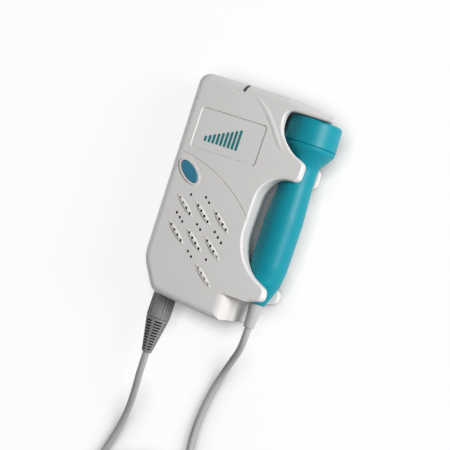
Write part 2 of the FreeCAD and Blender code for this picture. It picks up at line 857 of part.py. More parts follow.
def grille_holes():
    """The sound holes: right through, but for those of a ridge that reach past the speaker."""
    centre = Vector(speaker_x, speaker_y, front)
    open_radius = speaker_radius - gasket_width - hole_radius
    through = [grille_place(*hole) for hole in LOOSE_HOLE_SHARES]
    dimples = []
    for column, row in RIDGE_SHARES:
        for step in RIDGE_STEP_SHARES:
            place = grille_place(column, row, step)
            near = place.distanceToPoint(centre) < open_radius
            (through if near else dimples).append(place)
    holes = []
    for places, depth in ((through, size.front_wall + size.overrun / 2), (dimples, size.dimple_depth)):
        for place in places:
            holes.append(rod(place - Vector(0, 0, depth), hole_radius, depth + size.overrun))
    return holes


def spread(shares):
    """Places on the front, from shares of the case's width and length."""
    return [Vector(left_edge + x * size.overall_width, y * size.case_length, front) for x, y in shares]


def crease(shares, depth):
    """A shallow groove along an arc through three places."""
    curve = Part.Arc(*spread(shares)).toShape().Curve
    sides = []
    for radius in (curve.Radius - size.crease_width / 2, curve.Radius + size.crease_width / 2):
        rim = [curve.Center + (place - curve.Center).normalize() * radius for place in spread(shares)]
        sides.append(rim)
    inner, outer = sides
    edges = [
        Part.Arc(*inner).toShape(),
        Part.LineSegment(inner[2], outer[2]).toShape(),
        Part.Arc(*reversed(outer)).toShape(),
        Part.LineSegment(outer[0], inner[0]).toShape(),
    ]
    face = Part.Face(Part.Wire(edges))
    face.translate(Vector(0, 0, -depth))
    return face.extrude(Vector(0, 0, depth + size.overrun))


def front_bead():
    """The rounded ridge that runs from the window down to the head recess."""
    sunk = Vector(0, 0, size.bead_rise - size.bead_radius)
    route = [place + sunk for place in spread(BEAD_SHARES)]
    for end in (0, -1):
        route[end] -= Vector(0, 0, size.bead_fade)
    bead = tube(route_wire(route), size.bead_radius)
    caps = [Part.makeSphere(size.bead_radius, end) for end in (route[0], route[-1])]
    return bead.fuse(caps)


def make_front_shell(outside):
    past = size.overrun
    wide = size.overall_width
    upper = block((-wide, -size.case_length, size.parting_height), (wide, size.case_length, front))
    shell = outside.common(upper)
    shell = shell.cut(case_cavity(size.parting_height - past, inner_front))
    height = inner_front + size.front_wall / 2 - size.parting_height
    stands = [rod((x, y, size.parting_height), size.boss_radius, height) for x, y in bosses]
    room = size.button_gap
    opening = (size.button_long + 2 * room, size.button_short + 2 * room)
    rim = [side + 2 * size.rim_width for side in opening]
    stands.append(oval(*rim, front - size.front_wall / 2, front + size.rim_height))
    ridge = grille_ridge()
    for column, row in RIDGE_SHARES:
        stands.append(ridge.translated(grille_place(column, row, 0)))
    shell = shell.fuse(stands)
    bead_room = block((-wide, -size.case_length, front - size.bead_rise), (wide, top, front + past))
    shell = shell.fuse(front_bead().common(bead_room))
    cuts = [probe_channel(), head_pocket(), sleeve_scoop(), plug_hole(), lens_block(size.lens_gap)]
    for x, y in bosses:
        hole = size.screw_radius + size.screw_gap
        foot = (x, y, size.parting_height - past)
        cuts.append(rod(foot, hole, past + size.screw_reach + size.screw_gap))
    cuts.append(oval(*opening, inner_front - past, front + past))
    cuts.append(panel_prism(0, front - size.panel_depth, front + past))
    cuts.append(panel_slope())
    cuts.append(crease(SWOOSH_SHARES, size.crease_depth))
    cuts.append(crease(BROW_SHARES, BROW_DEPTH_SHARE * size.crease_depth))
    jack_z = board_top + size.jack_height / 2
    collar = size.collar_radius + size.collar_gap
    cuts.append(rod((jack_x, board_upper, jack_z), collar, size.jack_length, Vector(0, 1, 0)))
    jack_half = size.jack_width / 2 + size.collar_gap
    cuts.append(block(
        (jack_x - jack_half, jack_top - size.jack_length - size.collar_gap, board_top),
        (jack_x + jack_half, jack_top, board_top + size.jack_height + size.collar_gap),
    ))
    wheel_room = (wheel_x, wheel_y, wheel_low - size.wheel_gap)
    wheel_height = size.wheel_thickness + 2 * size.wheel_gap
    cuts.append(rod(wheel_room, wheel_radius + size.wheel_gap, wheel_height))
    scallop_low = wheel_low + size.wheel_thickness / 2 - size.scallop_width / 2
    scallop_y = top - size.scallop_depth + size.scallop_radius
    cuts.append(rod((wheel_x, scallop_y, scallop_low), size.scallop_radius, size.scallop_width))
    shell = shell.cut(cuts)
    shell = shell.cut(grille_holes())
    return keep(add_shape("front_shell", shell.removeSplitter()), "front_shell")


def panel_wire(gap):
    """The panel's rounded rectangle, a gap inside its recess, or outside it where that is negative."""
    left = panel_left + gap
    right = panel_right - gap
    upper = panel_upper - gap
    lower = panel_lower + gap
    corner_round = size.panel_round - min(gap, 0)
    places = ((left, upper), (right, upper), (right, lower), (left, lower))
    return rounded_wire([(x, y, corner_round) for x, y in places])


def panel_prism(gap, low, high):
    return prism(panel_wire(gap), low, high)


def panel_slope():
    """The bevel that leads down into the panel's recess."""
    bevel = size.panel_bevel
    inner = panel_wire(0)
    inner.translate(Vector(0, 0, front - bevel))
    outer = panel_wire(-2 * bevel)
    outer.translate(Vector(0, 0, front + bevel))
    return Part.makeLoft([inner, outer], True, True)


def make_rear_shell(outside):
    past = size.overrun
    wide = size.overall_width
    lower = block((-wide, -size.case_length, 0), (wide, size.case_length, size.parting_height))
    shell = outside.common(lower)
    shell = shell.cut(case_cavity(size.back_wall, size.parting_height + past))
    floor = size.back_wall
    stands = [rod((x, y, floor), size.boss_radius, size.parting_height - floor) for x, y in bosses]
    post_height = size.board_height - floor
    post_low = well_top + size.well_wall + size.post_radius + size.board_gap
    for x in (board_left + size.post_inset, board_left + board_width - size.post_inset):
        for y in (post_low, board_upper - size.post_inset):
            stands.append(rod((x, y, floor), size.post_radius, post_height))
    thick = size.well_wall
    well_left = well_x - well_half
    well_right = well_x + well_half
    stands.append(block(
        (well_left - thick, well_bottom - thick, floor),
        (well_right + thick, well_top + thick, well_ceiling + thick),
    ))
    stands.append(block(
        (plug_x - size.socket_radius, socket_low, floor),
        (plug_x + size.socket_radius, well_bottom - thick, cradle_high),
    ))
    shell = shell.fuse(stands)
    cuts = [probe_channel(), sleeve_scoop(), plug_hole()]
    cuts.append(block(
        (well_left, well_bottom, -past),
        (well_right, well_top, well_ceiling),
    ))
    gap = size.door_gap
    door_high = size.door_thickness + 2 * gap
    cuts.append(block(
        (well_x - door_half - gap, -top - past, -past),
        (well_x + door_half + gap, door_top_y + gap, door_high),
    ))
    rail = door_half + size.rail_depth + gap
    cuts.append(block(
        (well_x - rail, -top - past, door_high - size.rail_thickness - 2 * gap),
        (well_x + rail, door_top_y + gap, door_high),
    ))
    for x, y in bosses:
        cuts.append(rod((x, y, -past), size.screw_radius + size.screw_gap, size.parting_height + 2 * past))
        cuts.append(rod((x, y, -past), size.screw_head_radius + size.screw_head_gap, past + size.screw_seat))
    shell = shell.cut(cuts)
    return keep(add_shape("rear_shell", shell.removeSplitter()), "rear_shell")


def make_front_trim(outside):
    """The printed panel, the indicator window and the button with its plunger."""
    floor = front - size.panel_depth
    overlay = panel_prism(size.panel_gap, floor, floor + size.overlay_thickness)
    keep(add_shape("panel_overlay", overlay), "panel_overlay")

    window = outside.common(lens_block(0))
    guide_low = board_top + size.led_height + size.guide_gap
    guide_half = size.lens_width / 2 - size.lens_gap
    guide = block(
        (lens_x - guide_half, led_y - size.led_side / 2, guide_low),
        (lens_x + guide_half, top - size.lens_reach / 2, inner_front - size.guide_gap),
    )
    keep(add_shape("led_lens", window.fuse(guide).removeSplitter()), "led_lens")

    plunger_high = board_top + switch_height + size.plunger_out
    cap = oval(size.button_long, size.button_short, flange_low, front + size.button_proud)
    rim = edges_at(cap, front + size.button_proud)
    cap = cap.makeFillet(size.button_proud / 2, rim)
    grow = 2 * size.button_flange
    flange = oval(size.button_long + grow, size.button_short + grow, flange_low, flange_high)
    stem_foot = (button_x, button_y, plunger_high)
    stem = rod(stem_foot, size.stem_radius, flange_low - plunger_high)
    button = cap.fuse([flange, stem]).removeSplitter()
    keep(add_shape("power_button", button), "power_button")

    plunger_low = board_top + size.plunger_out
    plunger_foot = (button_x, button_y, plunger_low)
    plunger = add_cylinder(
        "plunger", plunger_foot, size.plunger_radius, plunger_high - plunger_low
    )
    keep(plunger, "switch_plunger")


def make_board_parts():
    """The main board with its switch, lamp, jack and volume control."""
    board = add_box(
        "board",
        (board_left, board_upper - board_length, size.board_height),
        (board_width, board_length, size.board_thickness),
    )
    keep(board, "main_board")

    half = size.switch_side / 2
    switch_box = add_box(
        "switch_box",
        (button_x - half, button_y - half, board_top),
        (size.switch_side, size.switch_side, switch_height),
    )
    bore_low = board_top + size.plunger_out - size.button_travel - size.plunger_gap
    bore = add_cylinder(
        "switch_bore",
        (button_x, button_y, bore_low),
        size.plunger_radius + size.plunger_gap,
        switch_height,
    )
    keep(add_cut("switch", switch_box, [bore]), "tact_switch")

    half = size.led_side / 2
    lamp = add_box(
        "lamp",
        (lens_x - half, led_y - half, board_top),
        (size.led_side, size.led_side, size.led_height),
    )
    keep(lamp, "status_led")

    jack_z = board_top + size.jack_height / 2
    jack_body = add_box(
        "jack_body",
        (jack_x - size.jack_width / 2, jack_top - size.jack_length, board_top),
        (size.jack_width, size.jack_length, size.jack_height),
    )
    collar = add_cylinder(
        "jack_collar", (jack_x, jack_top, jack_z), size.collar_radius, top - jack_top, ALONG_Y
    )
    jack_bore = add_cylinder(
        "jack_bore",
        (jack_x, jack_top - size.jack_length + size.jack_wall, jack_z),
        size.jack_bore,
        size.jack_length + size.overrun,
        ALONG_Y,
    )
    jack = add_cut("jack", add_fuse("jack_solid", [jack_body, collar]), [jack_bore])
    keep(jack, "headphone_jack")

    half = pot_side / 2
    pot_box = add_box(
        "pot_box",
        (wheel_x - half, wheel_y - half, board_top),
        (pot_side, pot_side, size.pot_height),
    )
    pivot_height = size.pot_height + size.wheel_gap / 2 + size.wheel_thickness
    pivot = add_cylinder(
        "pivot", (wheel_x, wheel_y, board_top), size.pivot_radius, pivot_height
    )
    keep(add_fuse("pot", [pot_box, pivot]), "volume_pot")

    bore = size.pivot_radius + size.pivot_gap
    section = ((bore, 0), (wheel_radius, 0))
    section += ((wheel_radius, size.wheel_thickness), (bore, size.wheel_thickness))
    disc = add_turned("disc", section, (wheel_x, wheel_y, wheel_low), RISING_Z)
    knurls = []
    for index in range(KNURL_COUNT):
        angle = math.radians(360 * index / KNURL_COUNT)
        x = wheel_x + wheel_radius * math.cos(angle)
        y = wheel_y + wheel_radius * math.sin(angle)
        foot = (x, y, wheel_low - size.wheel_gap)
        height = size.wheel_thickness + 2 * size.wheel_gap
        knurls.append(add_cylinder(f"knurl_{index}", foot, size.knurl_radius, height))
    keep(add_cut("wheel", disc, knurls), "volume_wheel")


def make_speaker():
    """Loudspeaker behind the grille: foam ring, frame, cone and magnet."""
    place = (speaker_x, speaker_y)
    gasket_low = inner_front - size.gasket_thickness
    inner = speaker_radius - gasket_width
    section = ((inner, 0), (speaker_radius, 0))
    section += ((speaker_radius, size.gasket_thickness), (inner, size.gasket_thickness))
    gasket = add_turned("gasket", section, (*place, gasket_low), RISING_Z)
    keep(gasket, "speaker_gasket")

    basket_depth = speaker_depth - magnet_depth
    wall = size.speaker_flange / 2
    frame_low = gasket_low - basket_depth
    section = (
        (magnet_radius / 2, 0),
        (basket_radius, 0),
        (inner, basket_depth - size.speaker_flange),
        (speaker_radius, basket_depth - size.speaker_flange),
        (speaker_radius, basket_depth),
        (inner - wall, basket_depth),
        (basket_radius - wall, wall),
        (magnet_radius / 2, wall),
    )
    keep(add_turned("basket", section, (*place, frame_low), RISING_Z), "speaker_frame")

    cone_low = wall
    cone_rise = CONE_RISE_SHARE * basket_depth
    cone_tip = magnet_radius / 4
    cone_edge = inner - size.speaker_flange - wall
    section = (
        (0, cone_low),
        (cone_tip, cone_low),
        (cone_edge, cone_rise),
        (cone_edge, cone_rise + size.cone_thickness),
        (0, cone_low + size.cone_thickness),
    )
    keep(add_turned("cone", section, (*place, frame_low), RISING_Z), "speaker_cone")

    magnet = add_cylinder(
        "magnet", (*place, frame_low - magnet_depth), magnet_radius, magnet_depth
    )
    keep(magnet, "speaker_magnet")


def make_battery(outside):
    """Two cells head to tail, the sprung plates at their ends and the sliding door."""
    base = well_bottom + size.contact_room
    full = size.cell_length + size.nub_length
    cells = []
    contacts = []
    reach = size.contact_room - size.contact_thickness
    half = size.contact_side / 2
    for side, nub_up in ((-1, True), (1, False)):
        x = well_x + side * (size.cell_radius + size.cell_gap / 2)
        can_low = base if nub_up else base + size.nub_length
        can = add_cylinder("can", (x, can_low, cell_z), size.cell_radius, size.cell_length, ALONG_Y)
        nub = add_cylinder("nub", (x, base, cell_z), size.nub_radius, full, ALONG_Y)
        cells.append(add_fuse("cell", [can, nub]))
        for plate_low, button_low in (
            (well_bottom, well_bottom + size.contact_thickness),
            (well_top - size.contact_thickness, base + full),
        ):
            plate = add_box(
                "contact_plate",
                (x - half, plate_low, cell_z - half),
                (size.contact_side, size.contact_thickness, size.contact_side),
            )
            spring = add_cylinder("spring", (x, button_low, cell_z), size.nub_radius, reach, ALONG_Y)
            contacts.append(add_fuse("contact", [plate, spring]))
    keep(add_group("cells", cells), "battery_cells")
    keep(add_group("contacts", contacts), "battery_contacts")

    gap = size.door_gap
    left = well_x - door_half
    right = well_x + door_half
    high = gap + size.door_thickness
    door = outside.common(block((left, -top - size.overrun, gap), (right, door_top_y, high)))
    rail_start = well_bottom - size.door_past_well
    rails = block(
        (left - size.rail_depth, rail_start, high - size.rail_thickness),
        (right + size.rail_depth, door_top_y, high),
    )
    grips = []
    for index in range(DOOR_RIBS):
        y = rail_start + index * size.door_rib_pitch
        grips.append(block(
            (well_x - well_half / 2, y, 0),
            (well_x + well_half / 2, y + size.door_rib_width, gap + size.door_rib_width / 2),
        ))
    door = door.fuse(rails).cut(grips).removeSplitter()
    keep(add_shape("battery_door", door), "battery_door")


def make_screws():
    """Four screws that draw the shells together from the back."""
    screws = []
    for x, y in bosses:
        head_low = size.screw_seat - size.screw_head_height
        head = add_cylinder("head", (x, y, head_low), size.screw_head_radius, size.screw_head_height)
        reach = size.parting_height + size.screw_reach - head_low
        shank = add_cylinder("shank", (x, y, head_low), size.screw_radius, reach)
        screws.append(add_fuse("screw", [head, shank]))
    keep(add_group("screws", screws), "case_screws")


def ring_places(count, radius, x, z):
    """Evenly spaced places round an axis along Y."""
    places = []
    for index in range(count):
        angle = math.radians(360 * (index + 0.5) / count)
        places.append((x + radius * math.cos(angle), z + radius * math.sin(angle)))
    return places


def make_socket_and_plug():
    """The socket behind the bottom edge, and the plug that stands in it."""
    bore = size.barrel_radius + size.plug_gap
    floor = size.barrel_length + size.plug_gap
    section = (
        (bore, 0),
        (size.socket_radius, 0),
        (size.socket_radius, size.socket_length),
        (0, size.socket_length),
        (0, size.plug_gap),
        (size.insert_radius, size.plug_gap),
        (size.insert_radius, floor),
        (bore, floor),
    )
    socket_body = add_turned("socket_body", section, (plug_x, socket_low, size.plug_height))
    pins = []
    pin_holes = []
    for x, z in ring_places(PIN_COUNT, size.pin_circle, plug_x, size.plug_height):
        pins.append(add_cylinder("pin", (x, plug_top, z), size.pin_radius, size.pin_length, ALONG_Y))
        hole = size.pin_radius + size.plug_gap / 2
        pin_holes.append(
            add_cylinder("pin_hole", (x, socket_low, z), hole, size.pin_length, ALONG_Y)
        )
    keep(add_cut("socket", socket_body, pin_holes), "probe_socket")
    keep(add_group("pins", pins), "plug_pins")

    plug_low = plug_top - size.plug_length
    up = Vector(0, 1, 0)
    axis = Vector(plug_x, 0, size.plug_height)
    body = rod((axis.x, plug_low, axis.z), size.plug_radius, size.plug_length, up)
    rims = [edge for edge in body.Edges if len(edge.Vertexes) == 1]
    body = body.makeFillet(size.edge_round, rims)
    barrel = rod((axis.x, plug_top, axis.z), size.barrel_radius, size.barrel_length, up)
    hollow = size.barrel_radius - size.barrel_wall
    barrel = barrel.cut(rod((axis.x, plug_top, axis.z), hollow, size.barrel_length, up))
    flutes = []
    flute_length = size.plug_length - size.plug_inset - 2 * size.edge_round
    for index in range(-FLUTES, FLUTES + 1):
        for side in (0, 180):
            angle = math.radians(side + index * FLUTE_STEP)
            x = axis.x + size.plug_radius * math.cos(angle)
            z = axis.z + size.plug_radius * math.sin(angle)
            flutes.append(rod((x, plug_low + size.edge_round, z), size.flute_radius, flute_length, up))
    plug = body.fuse(barrel).cut(flutes).removeSplitter()
    keep(add_shape("probe_plug", plug), "probe_plug")
    keep(add_shape("plug_boot", boot_solid(plug_low)), "plug_boot")


SLOT_WIDTH_SHARE = 0.62


def boot_solid(boot_top):
    """The plug's bending boot: a taper with rows of slots between upright spines."""
    top_radius = size.boot_top_radius
    foot = Vector(plug_x, boot_top, size.plug_height)
    down = Vector(0, -1, 0)
    boot = Part.makeCone(top_radius, size.boot_end_radius, size.boot_length, foot, down)
    pitch = size.boot_length / (BOOT_ROWS + 1)
    slots = []
    for row in range(BOOT_ROWS):
        depth = (row + 1) * pitch
        radius = top_radius + (size.boot_end_radius - top_radius) * depth / size.boot_length
        half = SLOT_WIDTH_SHARE * math.pi * radius / BOOT_SLOTS
        for index in range(BOOT_SLOTS):
            slot = block(
                (radius - size.boot_groove, -depth - size.boot_slot / 2, -half),
                (top_radius + size.boot_slot, -depth + size.boot_slot / 2, half),
            )
            slot.rotate(Vector(), Vector(0, 1, 0), 360 * index / BOOT_SLOTS)
            slot.translate(foot)
            slots.append(slot)
    return boot.cut(slots)


def make_probe():
    """The probe: head, contact face, crystals, backing, handle, board and sleeve."""
    outside = probe_solid(0).cut(seam_groove())
    wide = size.overall_width
    above = block((-wide, head_seam_y, -wide), (wide, size.case_length, wide))
    below = block((-wide, -size.case_length, -wide), (wide, head_seam_y, wide))
    up = Vector(0, 1, 0)
    wall = size.probe_wall
    mouth = size.head_top_radius - size.lens_inset
    ledge = mouth - size.backing_lip
    lens_low = head_top - size.lens_thickness
    crystal_low = lens_low - size.crystal_thickness
    backing_low = crystal_low - size.backing_thickness

    def bore(low, radius, height):
        return rod((probe_x, low, probe_z), radius, height, up)

    head = outside.common(above)
    head = head.cut(bore(backing_low, mouth, size.head_length))
    head = head.cut(bore(head_seam_y - size.overrun, ledge, size.head_length))
    keep(add_shape("probe_head", head), "probe_head")

    place = (probe_x, lens_low, probe_z)
    keep(add_cylinder("lens", place, mouth, size.lens_thickness, ALONG_Y), "probe_lens")
    place = (probe_x, backing_low, probe_z)
    backing = add_cylinder("backing", place, mouth, size.backing_thickness, ALONG_Y)
    keep(backing, "probe_backing")
    half_discs = bore(crystal_low, size.crystal_radius, size.crystal_thickness)
    split = block(
        (probe_x - size.crystal_split / 2, crystal_low, -wide),
        (probe_x + size.crystal_split / 2, head_top, wide),
    )
    keep(add_shape("crystals", half_discs.cut(split)), "probe_crystals")

    handle = outside.common(below)
    hollow_low = taper_bottom
    hollow = size.neck_radius - wall
    handle = handle.cut(bore(hollow_low, hollow, size.case_length))
    keep(add_shape("probe_handle", handle.removeSplitter()), "probe_handle")

    board_half = hollow - size.probe_clearance
    probe_board = add_box(
        "handle_board",
        (probe_x - board_half, hollow_low, probe_z - size.probe_board_thickness / 2),
        (2 * board_half, neck_bottom - hollow_low - size.probe_board_gap, size.probe_board_thickness),
    )
    keep(probe_board, "probe_board")

    section = (
        (0, 0),
        (size.sleeve_end_radius, 0),
        (size.sleeve_top_radius, size.sleeve_length),
        (0, size.sleeve_length),
    )
    sleeve_foot = (probe_x, tip_y - size.sleeve_length, probe_z)
    keep(add_turned("sleeve", section, sleeve_foot), "probe_sleeve")


def coil_crossing(number, centre):
    """Where the coil crosses its own middle line: in on the lower layer, out on the upper one."""
    inward = min(number, COIL_HALF_TURNS - number) / 2
    innermost = (COIL_HALF_TURNS - 1) / 4
    if inward == innermost:
        inward = COIL_INNER_SHARE
    radius = size.coil_radius - inward * size.coil_pitch
    side = -1 if number % 2 == 0 else 1
    layer = 0 if number <= COIL_HALF_TURNS / 2 else 1
    low = size.coil_lift + size.cable_radius
    return Vector(centre.x + side * radius, centre.y, low + layer * size.coil_pitch)


def coil_edges(centre):
    """The coil's middle line: half turns of two arcs each, with a straight end at either side."""
    straight = Vector(0, 2 * size.cable_radius, 0)
    first = coil_crossing(0, centre)
    edges = [Part.LineSegment(first + straight, first).toShape()]
    for number in range(COIL_HALF_TURNS):
        start = coil_crossing(number, centre)
        end = coil_crossing(number + 1, centre)
        heading = Vector(0, -1 if number % 2 == 0 else 1, 0)
        reach = heading * ((end - start).Length / 2)
        crest = (start + end) * 0.5 + reach
        edges.append(arc_between(start, start + reach, crest))
        edges.append(arc_between(crest, end + reach, end))
    last = coil_crossing(COIL_HALF_TURNS, centre)
    edges.append(Part.LineSegment(last, last + straight).toShape())
    return edges


def least_self_gap(edges, diameter):
    """The least free space between turns, measured on points along the middle line."""
    points = []
    run = 0.0
    for edge in edges:
        steps = max(2, int(edge.Length / diameter * 2))
        for point in edge.discretize(Number=steps + 1)[:-1]:
            points.append((run, point))
            run += edge.Length / steps
    apart = 3 * diameter
    least = min(
        here.distanceToPoint(there)
        for index, (at, here) in enumerate(points)
        for beyond, there in points[index + 1:]
        if beyond - at > apart
    )
    return least - diameter


def make_lead(label, points):
    """One free stretch of the cable, with its radii and volume set against its length."""
    wire = route_wire(points)
    solid = tube(wire, size.cable_radius)
    section = math.pi * size.cable_radius ** 2
    radii = ", ".join(f"{radius:.0f}" for radius in route_radii(points))
    print(f"{label}: length {wire.Length:.1f}, radii {radii}")
    print(f"{label}: volume {solid.Volume:.1f} against {section * wire.Length:.1f}")
    keep(add_shape(label, solid), label)


def make_cable():
    """The probe's cable: a lead from each end, and the coil that they meet in."""
    centre = Vector(*COIL_CENTRE, 0)
    straight = Vector(0, 2 * size.cable_radius, 0)
    approach = Vector(0, size.lead_straight, 0)
    boot_end = Vector(plug_x, plug_top - size.plug_length - size.boot_length, size.plug_height)
    coil_in = coil_crossing(0, centre) + straight
    route = [Vector(*point) for point in PLUG_LEAD_ROUTE]
    make_lead("plug_lead", [boot_end, *route, coil_in + approach, coil_in])
    sleeve_end = Vector(probe_x, tip_y - size.sleeve_length, probe_z)
    coil_out = coil_crossing(COIL_HALF_TURNS, centre) + straight
    route = [Vector(*point) for point in PROBE_LEAD_ROUTE]
    make_lead("probe_lead", [sleeve_end, *route, coil_out + approach, coil_out])

    edges = coil_edges(centre)
    wire = Part.Wire(edges)
    coil = tube(wire, size.cable_radius)
    section = math.pi * size.cable_radius ** 2
    gap = least_self_gap(edges, 2 * float(size.cable_radius))
    print(f"cord_coil: length {wire.Length:.1f}, least gap to itself {gap:.2f}")
    print(f"cord_coil: volume {coil.Volume:.1f} against {section * wire.Length:.1f}")
    keep(add_shape("cord_coil", coil), "cord_coil")
    make_tie(centre)


def make_tie(centre):
    """A flat band round the bundle, on the side of the coil nearest the case."""
    room = size.cable_radius + size.tie_gap
    outermost = size.coil_radius - COIL_OUTER_SHARE * size.coil_pitch
    inner_half_turn = (COIL_INNER_SHARE + (COIL_HALF_TURNS - 3) / 4) / 2
    innermost = size.coil_radius - inner_half_turn * size.coil_pitch
    low = size.coil_lift + size.cable_radius
    half = size.tie_width / 2
    inside = (
        (centre.x - half, centre.y + innermost - room, low - room),
        (centre.x + half, centre.y + outermost + room, low + size.coil_pitch + room),
    )
    thick = size.tie_thickness
    band = block(
        (inside[0][0], inside[0][1] - thick, inside[0][2] - thick),
        (inside[1][0], inside[1][1] + thick, inside[1][2] + thick),
    )
    keep(add_shape("cord_tie", band.cut(block(*inside))), "cord_tie")


def write_parts():
    """Check every object and every sub-part, then write one file for each."""
    document.recompute()
    failed = [made.Label for made in document.Objects if {"Invalid", "Error"} & set(made.State)]
    if failed:
        raise RuntimeError("failed to build: " + ", ".join(failed))
    for node in nodes:
        if node.Shape.isNull() or not node.Shape.isValid() or not node.Shape.Solids:
            raise RuntimeError("not a sound solid: " + node.Label)
    os.makedirs("parts", exist_ok=True)
    for node in nodes:
        node.Shape.exportStep(f"parts/{node.Label}.step")
        solids = len(node.Shape.Solids)
        print(f"{node.Label}: {solids} solid(s), {node.Shape.Volume:.0f} cubic millimetres")


outer_case = case_block()
make_front_shell(outer_case)
make_rear_shell(outer_case)
make_front_trim(outer_case)
make_board_parts()
make_speaker()
make_battery(outer_case)
make_screws()
make_socket_and_plug()
make_probe()
make_cable()
write_parts()
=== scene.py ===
# %% [markdown]
# # A pocket doppler, dressed for its portrait
# The solids of this hand-held monitor are already built and packed. This lesson loads them as a
# fixed frame, keeps those whose shape is right, and replaces the few that bend or need finer forms.
# Everything is in metres: +X points to the side that holds the probe, +Y to the top edge and +Z
# out of the front, so no piece has to be fitted by eye.

import json
import math

import bmesh
import bpy
from mathutils import Matrix, Vector

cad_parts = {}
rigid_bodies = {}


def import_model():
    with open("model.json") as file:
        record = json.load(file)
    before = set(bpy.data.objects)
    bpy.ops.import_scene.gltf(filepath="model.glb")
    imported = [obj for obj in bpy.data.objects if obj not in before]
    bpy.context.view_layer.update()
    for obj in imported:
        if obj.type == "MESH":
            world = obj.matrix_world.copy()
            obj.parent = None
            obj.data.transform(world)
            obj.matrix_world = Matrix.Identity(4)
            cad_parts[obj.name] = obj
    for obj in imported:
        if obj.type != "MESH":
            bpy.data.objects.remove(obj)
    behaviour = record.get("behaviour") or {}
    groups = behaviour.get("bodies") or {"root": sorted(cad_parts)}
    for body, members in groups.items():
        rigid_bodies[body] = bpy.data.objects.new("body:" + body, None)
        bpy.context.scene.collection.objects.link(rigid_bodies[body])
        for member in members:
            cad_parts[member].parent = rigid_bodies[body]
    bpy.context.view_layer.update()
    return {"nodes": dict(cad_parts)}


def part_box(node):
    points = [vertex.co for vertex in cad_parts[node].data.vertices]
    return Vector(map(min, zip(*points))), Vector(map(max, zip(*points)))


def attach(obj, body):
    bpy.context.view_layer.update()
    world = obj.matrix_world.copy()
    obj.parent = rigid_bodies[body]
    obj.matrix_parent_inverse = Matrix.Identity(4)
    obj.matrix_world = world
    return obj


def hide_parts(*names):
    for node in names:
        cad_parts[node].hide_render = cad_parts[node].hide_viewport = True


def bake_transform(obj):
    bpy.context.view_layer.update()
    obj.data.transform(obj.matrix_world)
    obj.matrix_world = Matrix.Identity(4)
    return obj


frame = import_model()
nodes = frame["nodes"]
scene = bpy.context.scene
scene.view_settings.view_transform = "Standard"
print("frame loaded:", len(nodes), "nodes")

# %% [markdown]
# ## The camera
# The photograph looks almost straight down on the front, a little from the probe's side, with the
# device turned clockwise in the picture. A long lens far away keeps the edges parallel as they are
# there. The point that the picture turns about is named first, with the pixel where it shows, so
# the camera can be placed by a few vectors and needs no lens shift.

# %% Camera
MM = 0.001
IMAGE_PIXELS = 450
PIXEL_SIZE = 0.587 * MM
VIEW_FROM_SIDE = math.radians(17.0)
PICTURE_TURN = math.radians(18.6)
CAMERA_DISTANCE = 1.0
SENSOR_WIDTH = 36.0
PIVOT_POINT = Vector((-0.65, -0.3, 18.0)) * MM
PIVOT_PIXEL = (240, 205)

towards_camera = Vector((math.sin(VIEW_FROM_SIDE), 0, math.cos(VIEW_FROM_SIDE)))
level = Vector((math.cos(VIEW_FROM_SIDE), 0, -math.sin(VIEW_FROM_SIDE)))
upright = Vector((0, 1, 0))
picture_right = math.cos(PICTURE_TURN) * level + math.sin(PICTURE_TURN) * upright
picture_up = math.cos(PICTURE_TURN) * upright - math.sin(PICTURE_TURN) * level
middle = IMAGE_PIXELS / 2
aim = PIVOT_POINT - picture_right * (PIVOT_PIXEL[0] - middle) * PIXEL_SIZE
aim += picture_up * (PIVOT_PIXEL[1] - middle) * PIXEL_SIZE

lens = bpy.data.cameras.new("camera")
lens.sensor_fit = "HORIZONTAL"
lens.sensor_width = SENSOR_WIDTH
lens.lens = SENSOR_WIDTH * CAMERA_DISTANCE / (IMAGE_PIXELS * PIXEL_SIZE)
camera = bpy.data.objects.new("camera", lens)
scene.collection.objects.link(camera)
axes = Matrix((picture_right, picture_up, towards_camera)).transposed()
camera.matrix_world = Matrix.Translation(aim + towards_camera * CAMERA_DISTANCE) @ axes.to_4x4()
scene.camera = camera
print(f"camera: {lens.lens:.0f} mm lens, aimed at {tuple(round(c, 4) for c in aim)}")

# %% [markdown]
# ## The cable's route
# One cable joins the plug in the bottom edge to the probe in the side. It is just under a metre and
# a quarter long, so most of it is put away in a neat coil below the picture, held by a band. Each
# free lead follows a few listed points, straight out of the plug or the probe and then down to the
# table. The coil's points come from a loop, which spirals in on the table and out again on a second
# layer.

# %% Cable routes
CABLE_RADIUS = 2.1 * MM
PLUG_LEAD_ROUTE = (
    (-26.75, -100.25, 17.5), (-26.75, -112.0, 17.5), (-27.65, -124.5, 12.2), (-29.85, -138.0, 5.4),
    (-33.05, -152.0, 2.5), (-37.05, -166.0, 2.4), (-40.35, -180.8, 3.7), (-40.35, -191.8, 3.7),
)
PROBE_LEAD_ROUTE = (
    (27.9, -66.6, 18.0), (27.9, -74.8, 18.0), (25.95, -82.0, 13.6), (22.45, -88.8, 8.6),
    (19.15, -96.4, 4.6), (16.25, -105.0, 2.4), (13.85, -116.5, 2.3), (12.55, -130.0, 2.3),
    (12.75, -144.0, 2.4), (15.55, -157.0, 3.4), (20.75, -169.0, 6.4), (25.05, -180.8, 8.5),
    (25.05, -191.8, 8.5),
)
COIL_CENTRE = Vector((-7.65, -196.0, 0.0)) * MM
COIL_RADIUS = 32.7 * MM
COIL_PITCH = 4.8 * MM
COIL_LOW = 3.7 * MM
COIL_HALF_TURNS = 13
COIL_INNER_PITCHES = 3.3
POINTS_PER_HALF_TURN = 10


def metres(route):
    return [Vector(point) * MM for point in route]


